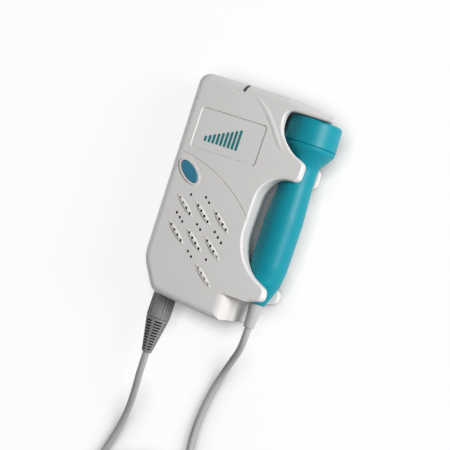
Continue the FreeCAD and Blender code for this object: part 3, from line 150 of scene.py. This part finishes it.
def coil_radius_at(crossing):
    """Radius where the coil crosses its middle line: inwards for half the turns, then out."""
    inward = min(crossing, COIL_HALF_TURNS - crossing) / 2
    innermost = (COIL_HALF_TURNS - 1) / 4
    if inward == innermost:
        inward = COIL_INNER_PITCHES
    return COIL_RADIUS - inward * COIL_PITCH


def coil_route():
    """The coil's points, with a short straight run where each lead joins it."""
    straight = Vector((0, 2 * CABLE_RADIUS, 0))
    points = []
    for half_turn in range(COIL_HALF_TURNS):
        begin, end = coil_radius_at(half_turn), coil_radius_at(half_turn + 1)
        for step in range(POINTS_PER_HALF_TURN):
            share = step / POINTS_PER_HALF_TURN
            radius = begin + (end - begin) * share
            climb = min(max(half_turn + share - COIL_HALF_TURNS // 2, 0), 1)
            angle = math.pi * (half_turn + share + 1)
            arm = Vector((radius * math.cos(angle), radius * math.sin(angle), 0))
            points.append(COIL_CENTRE + arm + Vector((0, 0, COIL_LOW + climb * COIL_PITCH)))
    far_side = COIL_CENTRE + Vector((COIL_RADIUS, 0, COIL_LOW + COIL_PITCH))
    return [points[0] + straight, *points, far_side, far_side + straight]


coil_points = coil_route()
print("cable routes:", len(PLUG_LEAD_ROUTE), "and", len(PROBE_LEAD_ROUTE), "points by hand,",
      len(coil_points), "in the coil")

# %% [markdown]
# ## The cable's tubes
# A smooth line comes from a spline whose control points are the route's own points. With a round
# bevel that spline is a tube, and the tubes are turned into meshes. The same spline without a bevel
# gives the line down the middle, which tells how long the cable really is.

# %% Cable tubes
STEPS_PER_POINT = 6
TUBE_ROUNDNESS = 5


def spline_mesh(name, points, radius):
    """The mesh of a smooth spline, as a tube of that radius, or as a bare line for radius 0."""
    curve = bpy.data.curves.new(name, "CURVE")
    curve.dimensions = "3D"
    curve.resolution_u = STEPS_PER_POINT
    curve.bevel_depth = radius
    curve.bevel_resolution = TUBE_ROUNDNESS
    curve.use_fill_caps = radius > 0
    spline = curve.splines.new("NURBS")
    spline.points.add(len(points) - 1)
    for knot, place in zip(spline.points, points):
        knot.co = (*place, 1)
    spline.order_u = 3
    spline.use_endpoint_u = True
    holder = bpy.data.objects.new(name, curve)
    mesh = bpy.data.meshes.new_from_object(holder)
    bpy.data.curves.remove(curve)
    mesh.name = name
    return mesh


def add_piece(name, mesh):
    piece = bpy.data.objects.new(name, mesh)
    scene.collection.objects.link(piece)
    return piece


def lay_cable(name, points):
    """A cable's tube, its middle line and the line's length."""
    line = [vertex.co.copy() for vertex in spline_mesh(name + "_line", points, 0).vertices]
    mesh = spline_mesh(name, points, CABLE_RADIUS)
    mesh.shade_smooth()
    length = sum((after - before).length for before, after in zip(line, line[1:]))
    print(f"{name}: {length / MM:.0f} mm along its middle")
    return add_piece(name, mesh), line, length


plug_lead, plug_line, plug_length = lay_cable("plug_cable", metres(PLUG_LEAD_ROUTE))
probe_lead, probe_line, probe_length = lay_cable("probe_cable", metres(PROBE_LEAD_ROUTE))
cable_coil, coil_line, coil_length = lay_cable("cable_coil", coil_points)

# %% [markdown]
# ## Shader sums written as Python
# A finish is a material whose colour, gloss and grain change over the surface. Math nodes could be
# wired one by one, which is slow to read, so a small class wraps a socket and lets the usual
# operators add those nodes. A second class holds the material itself: what is the same all over is
# set on the shader's own sockets, and one method adds any other node.

# %% Shader helper
class Link:
    """A node's output, which the operators below combine through Math nodes."""

    def __init__(self, finish, socket):
        self.finish = finish
        self.socket = socket

    def math(self, operation, *values):
        return self.finish.node("ShaderNodeMath", {"operation": operation}, dict(enumerate(values)))

    def __add__(self, other):
        return self.math("ADD", self, other)

    def __mul__(self, other):
        return self.math("MULTIPLY", self, other)

    def __gt__(self, other):
        return self.math("GREATER_THAN", self, other)

    def __lt__(self, other):
        return self.math("LESS_THAN", self, other)

    __radd__ = __add__
    __rmul__ = __mul__


class Finish:
    """A material: constants on its shader, and nodes for what changes over the surface."""

    def __init__(self, name, **constants):
        self.material = bpy.data.materials.new(name)
        self.material.use_nodes = True
        self.tree = self.material.node_tree
        self.shader = self.tree.nodes["Principled BSDF"]
        self.place = self.node("ShaderNodeTexCoord", output="Object")
        for socket, value in constants.items():
            self.feed(socket.replace("_", " ").title().replace("Ior", "IOR"), value)

    def node(self, kind, settings=None, inputs=None, output=0):
        made = self.tree.nodes.new(kind)
        for setting, value in (settings or {}).items():
            setattr(made, setting, value)
        for socket, value in (inputs or {}).items():
            self.join(made.inputs[socket], value)
        return Link(self, made.outputs[output])

    def join(self, socket, value):
        if isinstance(value, Link):
            self.tree.links.new(value.socket, socket)
        else:
            socket.default_value = value

    def feed(self, socket, value):
        self.join(self.shader.inputs[socket], value)

    def coordinate(self, axis):
        """How far along X, Y or Z a point of the surface lies, in metres."""
        return self.node("ShaderNodeSeparateXYZ", None, {0: self.place}, axis)

    def noise(self, size, detail=2.0, stretch=(1, 1, 1)):
        """Cloudy values from 0 to 1, whose patches are about that size, in metres."""
        scaled = self.node("ShaderNodeVectorMath", {"operation": "MULTIPLY"},
                           {0: self.place, 1: stretch})
        inputs = {"Vector": scaled, "Scale": 1 / size, "Detail": detail}
        return self.node("ShaderNodeTexNoise", None, inputs)

    def mix(self, share, first, second):
        """A colour between two others."""
        return self.node("ShaderNodeMix", {"data_type": "RGBA"}, {0: share, 6: first, 7: second}, 2)

    def uneven_gloss(self, lowest, spread, size):
        """Roughness that rises from its lowest by up to the spread, in patches of that size."""
        self.feed("Roughness", lowest + spread * self.noise(size, detail=3.0))

    def bump(self, height, depth):
        inputs = {"Height": height, "Distance": depth, "Strength": 1.0}
        self.feed("Normal", self.node("ShaderNodeBump", None, inputs))


def colour(red, green, blue):
    """A colour as an eye reads it, 0 to 255 a channel, in the linear form that shaders take."""
    shares = (channel / 255 for channel in (red, green, blue))
    return (*(s / 12.92 if s <= 0.04045 else ((s + 0.055) / 1.055) ** 2.4 for s in shares), 1.0)


print("shader helper: ready")

# %% [markdown]
# ## The moulded plastics
# Nearly all that shows is moulded: the pale case, the teal probe and button, the grey plug and
# the rubbery sleeves. A mould leaves a fine even grain, a slow drift of tone where the melt cooled
# unevenly, and patches that handling has polished. One function gives all three, and each plastic
# says its own tones, gloss and size of grain. Grain is a bump here, since it is far below a
# millimetre; every shape that an eye can pick out is geometry. The case has a function of its own,
# because the crests of its grille are a little duller than the rest and carry a painted highlight
# tone, set close to the body's own.

# %% Case plastic
FINE_GRAIN = 0.25 * MM
GRAIN_DEPTH = 0.01 * MM
DRIFT_SIZE = 35 * MM
DRIFT_SHARE = 0.8
WEAR_SIZE = 12 * MM
WEAR_DETAIL = 4.0
WEAR_DULLING = 0.12
CASE_GLOSS = 0.4
CREST_DULLING = 0.06
FACE_HEIGHT = 35.05 * MM
CREST_HEIGHT = 35.35 * MM
GRILLE_TOP = 18.0 * MM


def moulded_tones(finish, light, dark, speck):
    """The slow drift between a plastic's two tones, with a little of its grain in it."""
    drift = finish.noise(DRIFT_SIZE, detail=3.0)
    return finish.mix(drift * DRIFT_SHARE + speck * (1 - DRIFT_SHARE), dark, light)


def case_plastic():
    """The case's pale grey; the grille's crests get a painted highlight tone and, where a hand lies, a
    duller gloss.
    """
    case = Finish("case_grey")
    speck = case.noise(FINE_GRAIN)
    tones = moulded_tones(case, colour(214, 212, 210), colour(206, 204, 202), speck)
    limits = {"Value": case.coordinate("Z"), "From Min": FACE_HEIGHT, "From Max": CREST_HEIGHT}
    raised = case.node("ShaderNodeMapRange", None, limits)
    crest_highlight_and_wear = raised * (case.coordinate("Y") < GRILLE_TOP)
    wear = case.noise(WEAR_SIZE, WEAR_DETAIL)
    # Painted highlight: the crests get one fixed tone for how they catch the light, set close to the
    # body's own.
    case.feed("Base Color", case.mix(crest_highlight_and_wear, tones, colour(208, 206, 203)))
    case.feed("Roughness", CASE_GLOSS + WEAR_DULLING * wear + CREST_DULLING * crest_highlight_and_wear)
    case.bump(speck, GRAIN_DEPTH)
    return case.material


finishes = {"case_grey": case_plastic()}
print("case plastic: ready")

# %% Other plastics
SOFT_GRAIN = 0.6 * MM
GRAIN_DULLING = 0.05


def moulded(name, light, dark, grain, gloss, depth=GRAIN_DEPTH, **constants):
    """A moulded plastic between two tones: gloss is its lowest roughness, grain and depth in metres."""
    finish = Finish(name, **constants)
    speck = finish.noise(grain)
    wear = finish.noise(WEAR_SIZE, WEAR_DETAIL)
    finish.feed("Base Color", moulded_tones(finish, light, dark, speck))
    finish.feed("Roughness", gloss + WEAR_DULLING * wear + GRAIN_DULLING * speck)
    finish.bump(speck, depth)
    return finish.material


PLAIN_PLASTICS = (
    # name, lighter tone, darker tone, grain, gloss
    ("button_teal", (32, 116, 142), (26, 104, 130), FINE_GRAIN, 0.34),
    ("probe_face", (206, 208, 206), (196, 199, 198), FINE_GRAIN, 0.30),
    ("plug_grey", (132, 130, 131), (120, 118, 119), SOFT_GRAIN, 0.48),
    ("boot_grey", (132, 130, 131), (120, 118, 119), SOFT_GRAIN, 0.55),
    ("sleeve_grey", (174, 175, 174), (162, 163, 162), SOFT_GRAIN, 0.45),
    ("cable_grey", (164, 165, 164), (152, 154, 154), SOFT_GRAIN, 0.42),
    ("part_black", (38, 38, 40), (28, 28, 30), FINE_GRAIN, 0.50),
    ("backing_grey", (120, 122, 124), (104, 106, 108), SOFT_GRAIN, 0.60),
    ("crystal_pale", (214, 206, 190), (202, 193, 176), FINE_GRAIN, 0.55),
)
for name, light, dark, grain, gloss in PLAIN_PLASTICS:
    finishes[name] = moulded(name, colour(*light), colour(*dark), grain, gloss)
finishes["probe_teal"] = moulded("probe_teal", colour(8, 136, 151), colour(6, 127, 143), FINE_GRAIN,
                                 gloss=0.32, depth=0.5 * GRAIN_DEPTH, specular_ior_level=0.2)
finishes["window_dark"] = moulded("window_dark", colour(34, 33, 35), colour(24, 24, 26), SOFT_GRAIN,
                                  gloss=0.08, depth=0.1 * GRAIN_DEPTH,
                                  coat_weight=0.5, coat_roughness=0.05)
print("moulded plastics:", ", ".join(finishes))

# %% [markdown]
# ## Print, metal and the parts inside
# The rest is little seen, but a shelf part may be opened. The printed sheet is satin film over an
# even ink. Steel and brass are bright metal with a drawn streak, foam is full of pores, the
# speaker's paper shows its fibres, the coil's band is woven, and a circuit board has tracks under
# its green lacquer. Each is its own few nodes, because they share nothing but the helper.

# %% Print and metal
INK_CLOUD = 30 * MM
INK_SCREEN = 0.15 * MM
CLOUD_SHARE = 0.7
STREAK_WIDTH = 0.3 * MM
STREAK_STRETCH = (1, 0.1, 1)
STREAK_DULLING = 0.2
PATCH_SIZE = 4 * MM
PATCH_SHARE = 0.6


def printed_film():
    """Satin film: an almost even ink with a fine printed screen under a smooth face."""
    film = Finish("panel_print", coat_weight=0.2, coat_roughness=0.25)
    screen = film.noise(INK_SCREEN, detail=1.0)
    ink = film.noise(INK_CLOUD) * CLOUD_SHARE + screen * (1 - CLOUD_SHARE)
    film.feed("Base Color", film.mix(ink, colour(203, 203, 201), colour(211, 211, 209)))
    film.uneven_gloss(lowest=0.32, spread=0.1, size=8 * MM)
    film.bump(film.noise(0.4 * MM), depth=0.003 * MM)
    return film.material


def drawn_metal(name, bright, dull, gloss):
    """Metal with streaks along its length, as drawing or turning leaves them."""
    metal = Finish(name, metallic=1.0)
    streak = metal.noise(STREAK_WIDTH, detail=3.0, stretch=STREAK_STRETCH)
    patches = metal.noise(PATCH_SIZE, detail=4.0)
    shine = patches * PATCH_SHARE + streak * (1 - PATCH_SHARE)
    metal.feed("Base Color", metal.mix(shine, dull, bright))
    metal.feed("Roughness", gloss + STREAK_DULLING * streak)
    metal.bump(streak, depth=0.004 * MM)
    return metal.material


finishes["panel_print"] = printed_film()
finishes["bare_steel"] = drawn_metal("bare_steel", colour(206, 207, 209), colour(172, 174, 177),
                                     gloss=0.22)
finishes["pin_brass"] = drawn_metal("pin_brass", colour(226, 190, 110), colour(190, 152, 80),
                                    gloss=0.18)
print("print and metal:", len(finishes), "finishes so far")

# %% Foam, paper and webbing
RIBS_SCALE = 700.0
THREADS_SCALE = 900.0
WEAVE_DEPTH = 0.12 * MM


def porous(name, light, dark, size, depth, roughness):
    """Foam or paper: a matt body whose pores or fibres are cells of that size."""
    body = Finish(name, roughness=roughness)
    inputs = {"Vector": body.place, "Scale": 1 / size}
    cells = body.node("ShaderNodeTexVoronoi", None, inputs, "Distance")
    body.feed("Base Color", body.mix(cells, dark, light))
    body.bump(cells, depth)
    return body.material


def webbing():
    """Woven strip: ribs across its width and a finer thread along it."""
    strip = Finish("tie_dark", roughness=0.85)

    def bands(direction, scale):
        inputs = {"Vector": strip.place, "Scale": scale}
        return strip.node("ShaderNodeTexWave", {"bands_direction": direction}, inputs, "Fac")

    weave = bands("Y", RIBS_SCALE) * bands("X", THREADS_SCALE)
    strip.feed("Base Color", strip.mix(weave, colour(36, 37, 39), colour(62, 63, 66)))
    strip.bump(weave, WEAVE_DEPTH)
    return strip.material


finishes["tie_dark"] = webbing()
finishes["foam_black"] = porous("foam_black", colour(46, 46, 48), colour(24, 24, 26),
                                size=0.7 * MM, depth=0.2 * MM, roughness=0.9)
finishes["cone_black"] = porous("cone_black", colour(40, 40, 42), colour(22, 22, 24),
                                size=0.4 * MM, depth=0.05 * MM, roughness=0.8)
print("foam, paper and webbing:", len(finishes), "finishes so far")

# %% Board, cells and lamp
TRACKS_SCALE = 160.0
TRACK_SHARE = 0.06
TRACK_DEPTH = 0.02 * MM
CELL_BAND_START = -12 * MM
CLEAR_GLOSS = 0.06
HAZE_DULLING = 0.1


def lacquered_board():
    """Green lacquer, a shade lighter over the copper tracks that a grid of bricks stands for."""
    board = Finish("board_green", coat_weight=0.3, coat_roughness=0.15)
    inputs = {"Vector": board.place, "Scale": TRACKS_SCALE, "Mortar Size": TRACK_SHARE}
    track = board.node("ShaderNodeTexBrick", None, inputs, "Fac")
    board.feed("Base Color", board.mix(track, colour(28, 88, 56), colour(58, 124, 78)))
    board.uneven_gloss(lowest=0.28, spread=0.15, size=4 * MM)
    board.bump(track, TRACK_DEPTH)
    return board.material


def wrapped_cell():
    """A battery's printed film: dark, with a copper band towards one end."""
    film = Finish("cell_dark", coat_weight=0.4, coat_roughness=0.1)
    copper = film.coordinate("Y") > CELL_BAND_START
    film.feed("Base Color", film.mix(copper, colour(36, 37, 40), colour(176, 120, 74)))
    film.uneven_gloss(lowest=0.25, spread=0.15, size=6 * MM)
    film.bump(film.noise(1.2 * MM), depth=0.006 * MM)
    return film.material


def clear_lamp():
    """Tinted clear resin with a little haze."""
    resin = Finish("lamp_clear", transmission_weight=0.7, ior=1.5)
    haze = resin.noise(0.8 * MM)
    resin.feed("Base Color", resin.mix(haze, colour(206, 236, 206), colour(226, 246, 226)))
    resin.feed("Roughness", CLEAR_GLOSS + HAZE_DULLING * haze)
    return resin.material


finishes["board_green"] = lacquered_board()
finishes["cell_dark"] = wrapped_cell()
finishes["lamp_clear"] = clear_lamp()
print("finishes:", len(finishes))

# %% [markdown]
# ## Handing the finishes to the solids
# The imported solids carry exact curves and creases, so most keep their own mesh and only change
# clothes. Each one's material slot already has the name of the finish that it wants.

# %% Finishes on the solids
for node in nodes.values():
    for material_slot in node.material_slots:
        material_slot.material = finishes[material_slot.material.name.split(".")[0]]
print("solids dressed:", len(nodes))

# %% [markdown]
# ## Bars on the panel
# The sheet in the recess is screen-printed. Here it carries a plain row of level bars, which rise to
# the right as on any loudness scale. A picture texture could show them, but each bar is a real skin
# of ink instead, thin as foil, with corners rounded by a bevel, so it stays sharp at any size.

# %% Shaping helpers
CREASE_ANGLE = math.radians(35)
ALIGNED = 0.999


def to_piece(name, shape):
    """Turn a bmesh into a piece that is smooth but for its creases."""
    mesh = bpy.data.meshes.new(name)
    bmesh.ops.recalc_face_normals(shape, faces=shape.faces)
    shape.to_mesh(mesh)
    shape.free()
    mesh.shade_smooth()
    mesh.set_sharp_from_angle(angle=CREASE_ANGLE)
    return add_piece(name, mesh)


def box_between(shape, low, high):
    """Add a box to a bmesh, between two corners."""
    low, high = Vector(low), Vector(high)
    place = Matrix.Translation((low + high) / 2) @ Matrix.Diagonal((*(high - low), 1))
    bmesh.ops.create_cube(shape, size=1, matrix=place)


def edges_along(shape, axis):
    """The straight edges that run along one axis, 0, 1 or 2."""
    def share(edge):
        run = edge.verts[1].co - edge.verts[0].co
        return abs(run[axis]) / run.length
    return [edge for edge in shape.edges if share(edge) > ALIGNED]


print("shaping helpers: ready")

# %% Panel bars
BAR_COUNT = 9
BAR_PITCH = 2.45 * MM
BAR_WIDTH = 1.55 * MM
BAR_SHORTEST = 3.2 * MM
BAR_STEP = 1.15 * MM
BAR_ROUND = 0.45 * MM
INK_THICKNESS = 0.05 * MM
INK_SUNK = 0.02 * MM
BARS_START = Vector((-29.3, 28.4)) * MM

sheet_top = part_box("panel_overlay")[1][2]
bars = bmesh.new()
for number in range(BAR_COUNT):
    left = BARS_START.x + number * BAR_PITCH
    bar_top = BARS_START.y + BAR_SHORTEST + number * BAR_STEP
    box_between(bars, (left, BARS_START.y, sheet_top - INK_SUNK),
                (left + BAR_WIDTH, bar_top, sheet_top + INK_THICKNESS))
bmesh.ops.bevel(bars, geom=edges_along(bars, 2), offset=BAR_ROUND, segments=4, profile=0.5,
                affect="EDGES", material=-1)
panel_bars = to_piece("panel_bars", bars)
bar_ink = moulded("bar_ink", colour(4, 110, 116), colour(0, 98, 106), FINE_GRAIN,
                  gloss=0.32, depth=0.2 * GRAIN_DEPTH)
panel_bars.data.materials.append(bar_ink)
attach(panel_bars, "case")
print("panel bars:", BAR_COUNT, "of", len(panel_bars.data.polygons), "faces in all")

# %% [markdown]
# ## The plug's bending boot
# Where the cable leaves the plug, a rubber boot with rows of slots lets it bend without a kink. It
# is a turned shape with pieces cut out, so a profile is drawn along its side and spun all the way
# round its axis. The profile has a point wherever a slot begins or ends, so the spin gives a grid
# of faces. Those that belong to a slot are inset by a hair and then drawn in towards the axis.

# %% Boot body
BOOT_SIDES = 96
BOOT_ROWS = 11
BOOT_TOP_RADIUS = 6.85 * MM
BOOT_END_RADIUS = 2.95 * MM
BOOT_MARGIN = 1.1 * MM
BOOT_EDGE = 0.3 * MM
SLOT_SHARE = 0.55
MERGE_REACH = 0.001 * MM

boot_low, boot_high = (Vector(corner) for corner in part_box("plug_boot"))
boot_axis = Vector(((boot_low.x + boot_high.x) / 2, 0, (boot_low.z + boot_high.z) / 2))
boot_length = boot_high.y - boot_low.y
row_pitch = (boot_length - 2 * BOOT_MARGIN) / BOOT_ROWS
depths = [0.0]
for row in range(BOOT_ROWS):
    begin = BOOT_MARGIN + (row + (1 - SLOT_SHARE) / 2) * row_pitch
    depths += [begin, begin + SLOT_SHARE * row_pitch]
depths += [boot_length - BOOT_EDGE]


def boot_radius(depth):
    return BOOT_TOP_RADIUS + (BOOT_END_RADIUS - BOOT_TOP_RADIUS) * depth / boot_length


profile = [(0.0, 0.0), *((boot_radius(depth), depth) for depth in depths)]
profile += [(BOOT_END_RADIUS - BOOT_EDGE, boot_length), (0.0, boot_length)]
boot = bmesh.new()
corners = [boot.verts.new(boot_axis + Vector((radius, boot_high.y - depth, 0)))
           for radius, depth in profile]
for before, after in zip(corners, corners[1:]):
    boot.edges.new((before, after))
bmesh.ops.spin(boot, geom=boot.verts[:] + boot.edges[:], cent=boot_axis, axis=(0, 1, 0),
               angle=math.tau, steps=BOOT_SIDES, use_merge=True)
bmesh.ops.remove_doubles(boot, verts=boot.verts, dist=MERGE_REACH)
bmesh.ops.recalc_face_normals(boot, faces=boot.faces)
print("boot body:", len(boot.faces), "faces")

# %% Boot slots
BOOT_COLUMNS = 6
SLOT_HALF_WIDTH = math.radians(22.5)
SLOT_DRAFT = 0.05 * MM
SLOT_FLOOR_SHARE = 0.3


def in_slot(face):
    """Whether a face of the boot's side lies in one of its slots."""
    arm = face.calc_center_median() - boot_axis
    row, share = divmod((boot_high.y - arm.y - BOOT_MARGIN) / row_pitch, 1)
    turn = math.atan2(arm.x, arm.z) * BOOT_COLUMNS / math.tau
    off_column = abs(turn % 1 - 0.5) * math.tau / BOOT_COLUMNS
    return 0 <= row < BOOT_ROWS and abs(share - 0.5) < SLOT_SHARE / 2 and off_column < SLOT_HALF_WIDTH


slots = [face for face in boot.faces if in_slot(face)]
bmesh.ops.inset_region(boot, faces=slots, thickness=SLOT_DRAFT, use_even_offset=True)
floors = list({vert for face in slots for vert in face.verts})
bmesh.ops.scale(boot, vec=(SLOT_FLOOR_SHARE, 1, SLOT_FLOOR_SHARE), verts=floors,
                space=Matrix.Translation(-boot_axis))
bending_boot = to_piece("bending_boot", boot)
bending_boot.data.materials.append(finishes["boot_grey"])
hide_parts("plug_boot")
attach(bending_boot, "plug")
print("boot:", len(slots), "slot faces,", len(bending_boot.data.polygons), "faces in all")

# %% [markdown]
# ## The band round the coil
# A strip of woven webbing holds the put-away turns together and grips itself with a short tongue.
# A box stretched over the whole band would look stiff. This one starts as a box without ends, gets
# its corners rounded by a bevel, then a wall by solidify, and the tongue is a second strip on top.

# %% Coil band
BAND_WALL = 0.8 * MM
BAND_CORNER = 2.6 * MM
BAND_EDGE = 0.18 * MM
TONGUE_LENGTH = 9.0 * MM
TONGUE_SHARE = 0.86
RIM_ANGLE = 1.0

band_low, band_high = (Vector(corner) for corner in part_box("cord_tie"))
band = bmesh.new()
box_between(band, band_low, band_high)
ends = [face for face in band.faces if abs(face.normal.x) > ALIGNED]
bmesh.ops.delete(band, geom=ends, context="FACES_ONLY")
bmesh.ops.bevel(band, geom=edges_along(band, 0), offset=BAND_CORNER, segments=6, profile=0.5,
                affect="EDGES", material=-1)
bmesh.ops.recalc_face_normals(band, faces=band.faces)
bmesh.ops.solidify(band, geom=band.faces[:], thickness=BAND_WALL)
half_width = TONGUE_SHARE * (band_high.x - band_low.x) / 2
centre_x = (band_low.x + band_high.x) / 2
tongue_start = (band_low.y + band_high.y - TONGUE_LENGTH) / 2
box_between(band, (centre_x - half_width, tongue_start, band_high.z - BAND_WALL / 2),
            (centre_x + half_width, tongue_start + TONGUE_LENGTH, band_high.z + BAND_WALL / 2))
rims = [edge for edge in band.edges if edge.is_manifold and edge.calc_face_angle() > RIM_ANGLE]
bmesh.ops.bevel(band, geom=rims, offset=BAND_EDGE, segments=2, profile=0.5, affect="EDGES", material=-1)
coil_band = to_piece("coil_band", band)
coil_band.data.materials.append(finishes["tie_dark"])
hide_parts("cord_tie")
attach(coil_band, "case")
print("coil band:", len(coil_band.data.polygons), "faces")

# %% [markdown]
# ## The cable's finish, and the coil on the case
# The coil lies still, so it rides on the case. Each lead has one end in the coil and the other in
# something that pulls out; here both leads keep their place in the world and ride on no body. The
# three get the cable's finish, and their length in all is printed.

# %% Cable finish, and the coil on the case
CABLE_SLOT = "cable_grey"

for piece, node in ((plug_lead, "plug_lead"), (probe_lead, "probe_lead"), (cable_coil, "cord_coil")):
    piece.data.materials.append(finishes[CABLE_SLOT])
    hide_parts(node)

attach(cable_coil, "case")
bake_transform(plug_lead)
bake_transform(probe_lead)

print(f"cable: {(probe_length + coil_length + plug_length) / MM:.0f} mm in all")

# %% [markdown]
# ## Floor, light and background
# The device lies on a white table under soft light from the upper right. Brightening the lamps until
# the table burns out would spoil the object's colours, so the table's white is mixed in only where
# it is seen: most of what the camera gets from there is plain white, and the rest is a lit surface
# that still catches the object's shadow. Mirror and glass rays get the same white. Close to the
# object, where the table sees little of the room, a painted shadow is added: both its white and its
# own tone fall off there, as in the photograph, so a soft dark edge sets the pale clips off from
# the white.

# %% Floor
FLOOR_DROP = 0.2 * MM
FLOOR_HALF = 3.0
PLAIN_WHITE = (1, 1, 1, 1)
PLAIN_WHITE_SHARE = 0.9
TABLE_WHITE = (0.95, 0.95, 0.95, 1)
PAINTED_SHADOW_GREY = (0.05, 0.05, 0.05, 1)
CONTACT_REACH = 13.0 * MM


def seen_directly(tree):
    """1 for rays that show a background: from the camera, a gloss or a clear body."""
    path = tree.nodes.new("ShaderNodeLightPath")
    total = path.outputs["Is Camera Ray"]
    for name in ("Is Glossy Ray", "Is Transmission Ray"):
        larger = tree.nodes.new("ShaderNodeMath")
        larger.operation = "MAXIMUM"
        tree.links.new(total, larger.inputs[0])
        tree.links.new(path.outputs[name], larger.inputs[1])
        total = larger.outputs[0]
    return total


white_table = Finish("white_table", roughness=0.9)
plain = white_table.node("ShaderNodeEmission", None, {"Color": PLAIN_WHITE, "Strength": 1.0})
# Painted shadow: near the object the table's own colour falls towards a near-black grey, and its plain
# white fades out.
sky = white_table.node("ShaderNodeAmbientOcclusion", {"samples": 8}, {"Distance": CONTACT_REACH}, "AO")
white_table.feed("Base Color", white_table.mix(sky, PAINTED_SHADOW_GREY, TABLE_WHITE))
share = Link(white_table, seen_directly(white_table.tree)) * PLAIN_WHITE_SHARE * sky * sky
lit = Link(white_table, white_table.shader.outputs[0])
surface = white_table.node("ShaderNodeMixShader", None, {0: share, 1: lit, 2: plain})
white_table.join(white_table.tree.nodes["Material Output"].inputs["Surface"], surface)

sheet = bmesh.new()
bmesh.ops.create_grid(sheet, x_segments=1, y_segments=1, size=FLOOR_HALF)
bmesh.ops.translate(sheet, verts=sheet.verts, vec=(0, 0, -FLOOR_DROP))
floor_mesh = bpy.data.meshes.new("table_top")
sheet.to_mesh(floor_mesh)
sheet.free()
floor = add_piece("table_top", floor_mesh)
floor_mesh.materials.append(white_table.material)
print("floor: ready")

# %% Lights
WINDOW_OUT = 0.8
WINDOW_RIGHT = 0.62
WINDOW_UP = 0.28
WINDOW_SIZE = 0.45
WINDOW_WATTS = 13.2
LEFT_CARD_PLACE = Vector((-0.8, 0.0, 0.11))
LEFT_CARD_WATTS = 1.6
NEAR_CARD_PLACE = Vector((-0.1, -0.85, 0.11))
NEAR_CARD_WATTS = 0.4
CARD_SIZE = 0.2


def hang_lamp(name, place, size, watts):
    """A square soft lamp that faces the object."""
    lamp = bpy.data.lights.new(name, "AREA")
    lamp.size = size
    lamp.energy = watts
    holder = bpy.data.objects.new(name, lamp)
    scene.collection.objects.link(holder)
    facing = (place - aim).to_track_quat("Z", "Y").to_matrix()
    holder.matrix_world = Matrix.Translation(place) @ facing.to_4x4()


window_place = aim + WINDOW_OUT * towards_camera + WINDOW_RIGHT * level + WINDOW_UP * upright
hang_lamp("window_light", window_place, WINDOW_SIZE, WINDOW_WATTS)
hang_lamp("left_card", LEFT_CARD_PLACE, CARD_SIZE, LEFT_CARD_WATTS)
hang_lamp("near_card", NEAR_CARD_PLACE, CARD_SIZE, NEAR_CARD_WATTS)
print("lamps: a soft window light and two low cards")

# %% White room
ROOM_LIGHT = 0.18
SEEN_LIGHT = 1.0

world = bpy.data.worlds.new("white_room")
world.use_nodes = True
scene.world = world
room = world.node_tree
background = room.nodes["Background"]
background.inputs["Color"].default_value = PLAIN_WHITE
strength = room.nodes.new("ShaderNodeMapRange")
strength.inputs["To Min"].default_value = ROOM_LIGHT
strength.inputs["To Max"].default_value = SEEN_LIGHT
room.links.new(seen_directly(room), strength.inputs["Value"])
room.links.new(strength.outputs["Result"], background.inputs["Strength"])
print("room: white where it is seen, dim where it only lights")
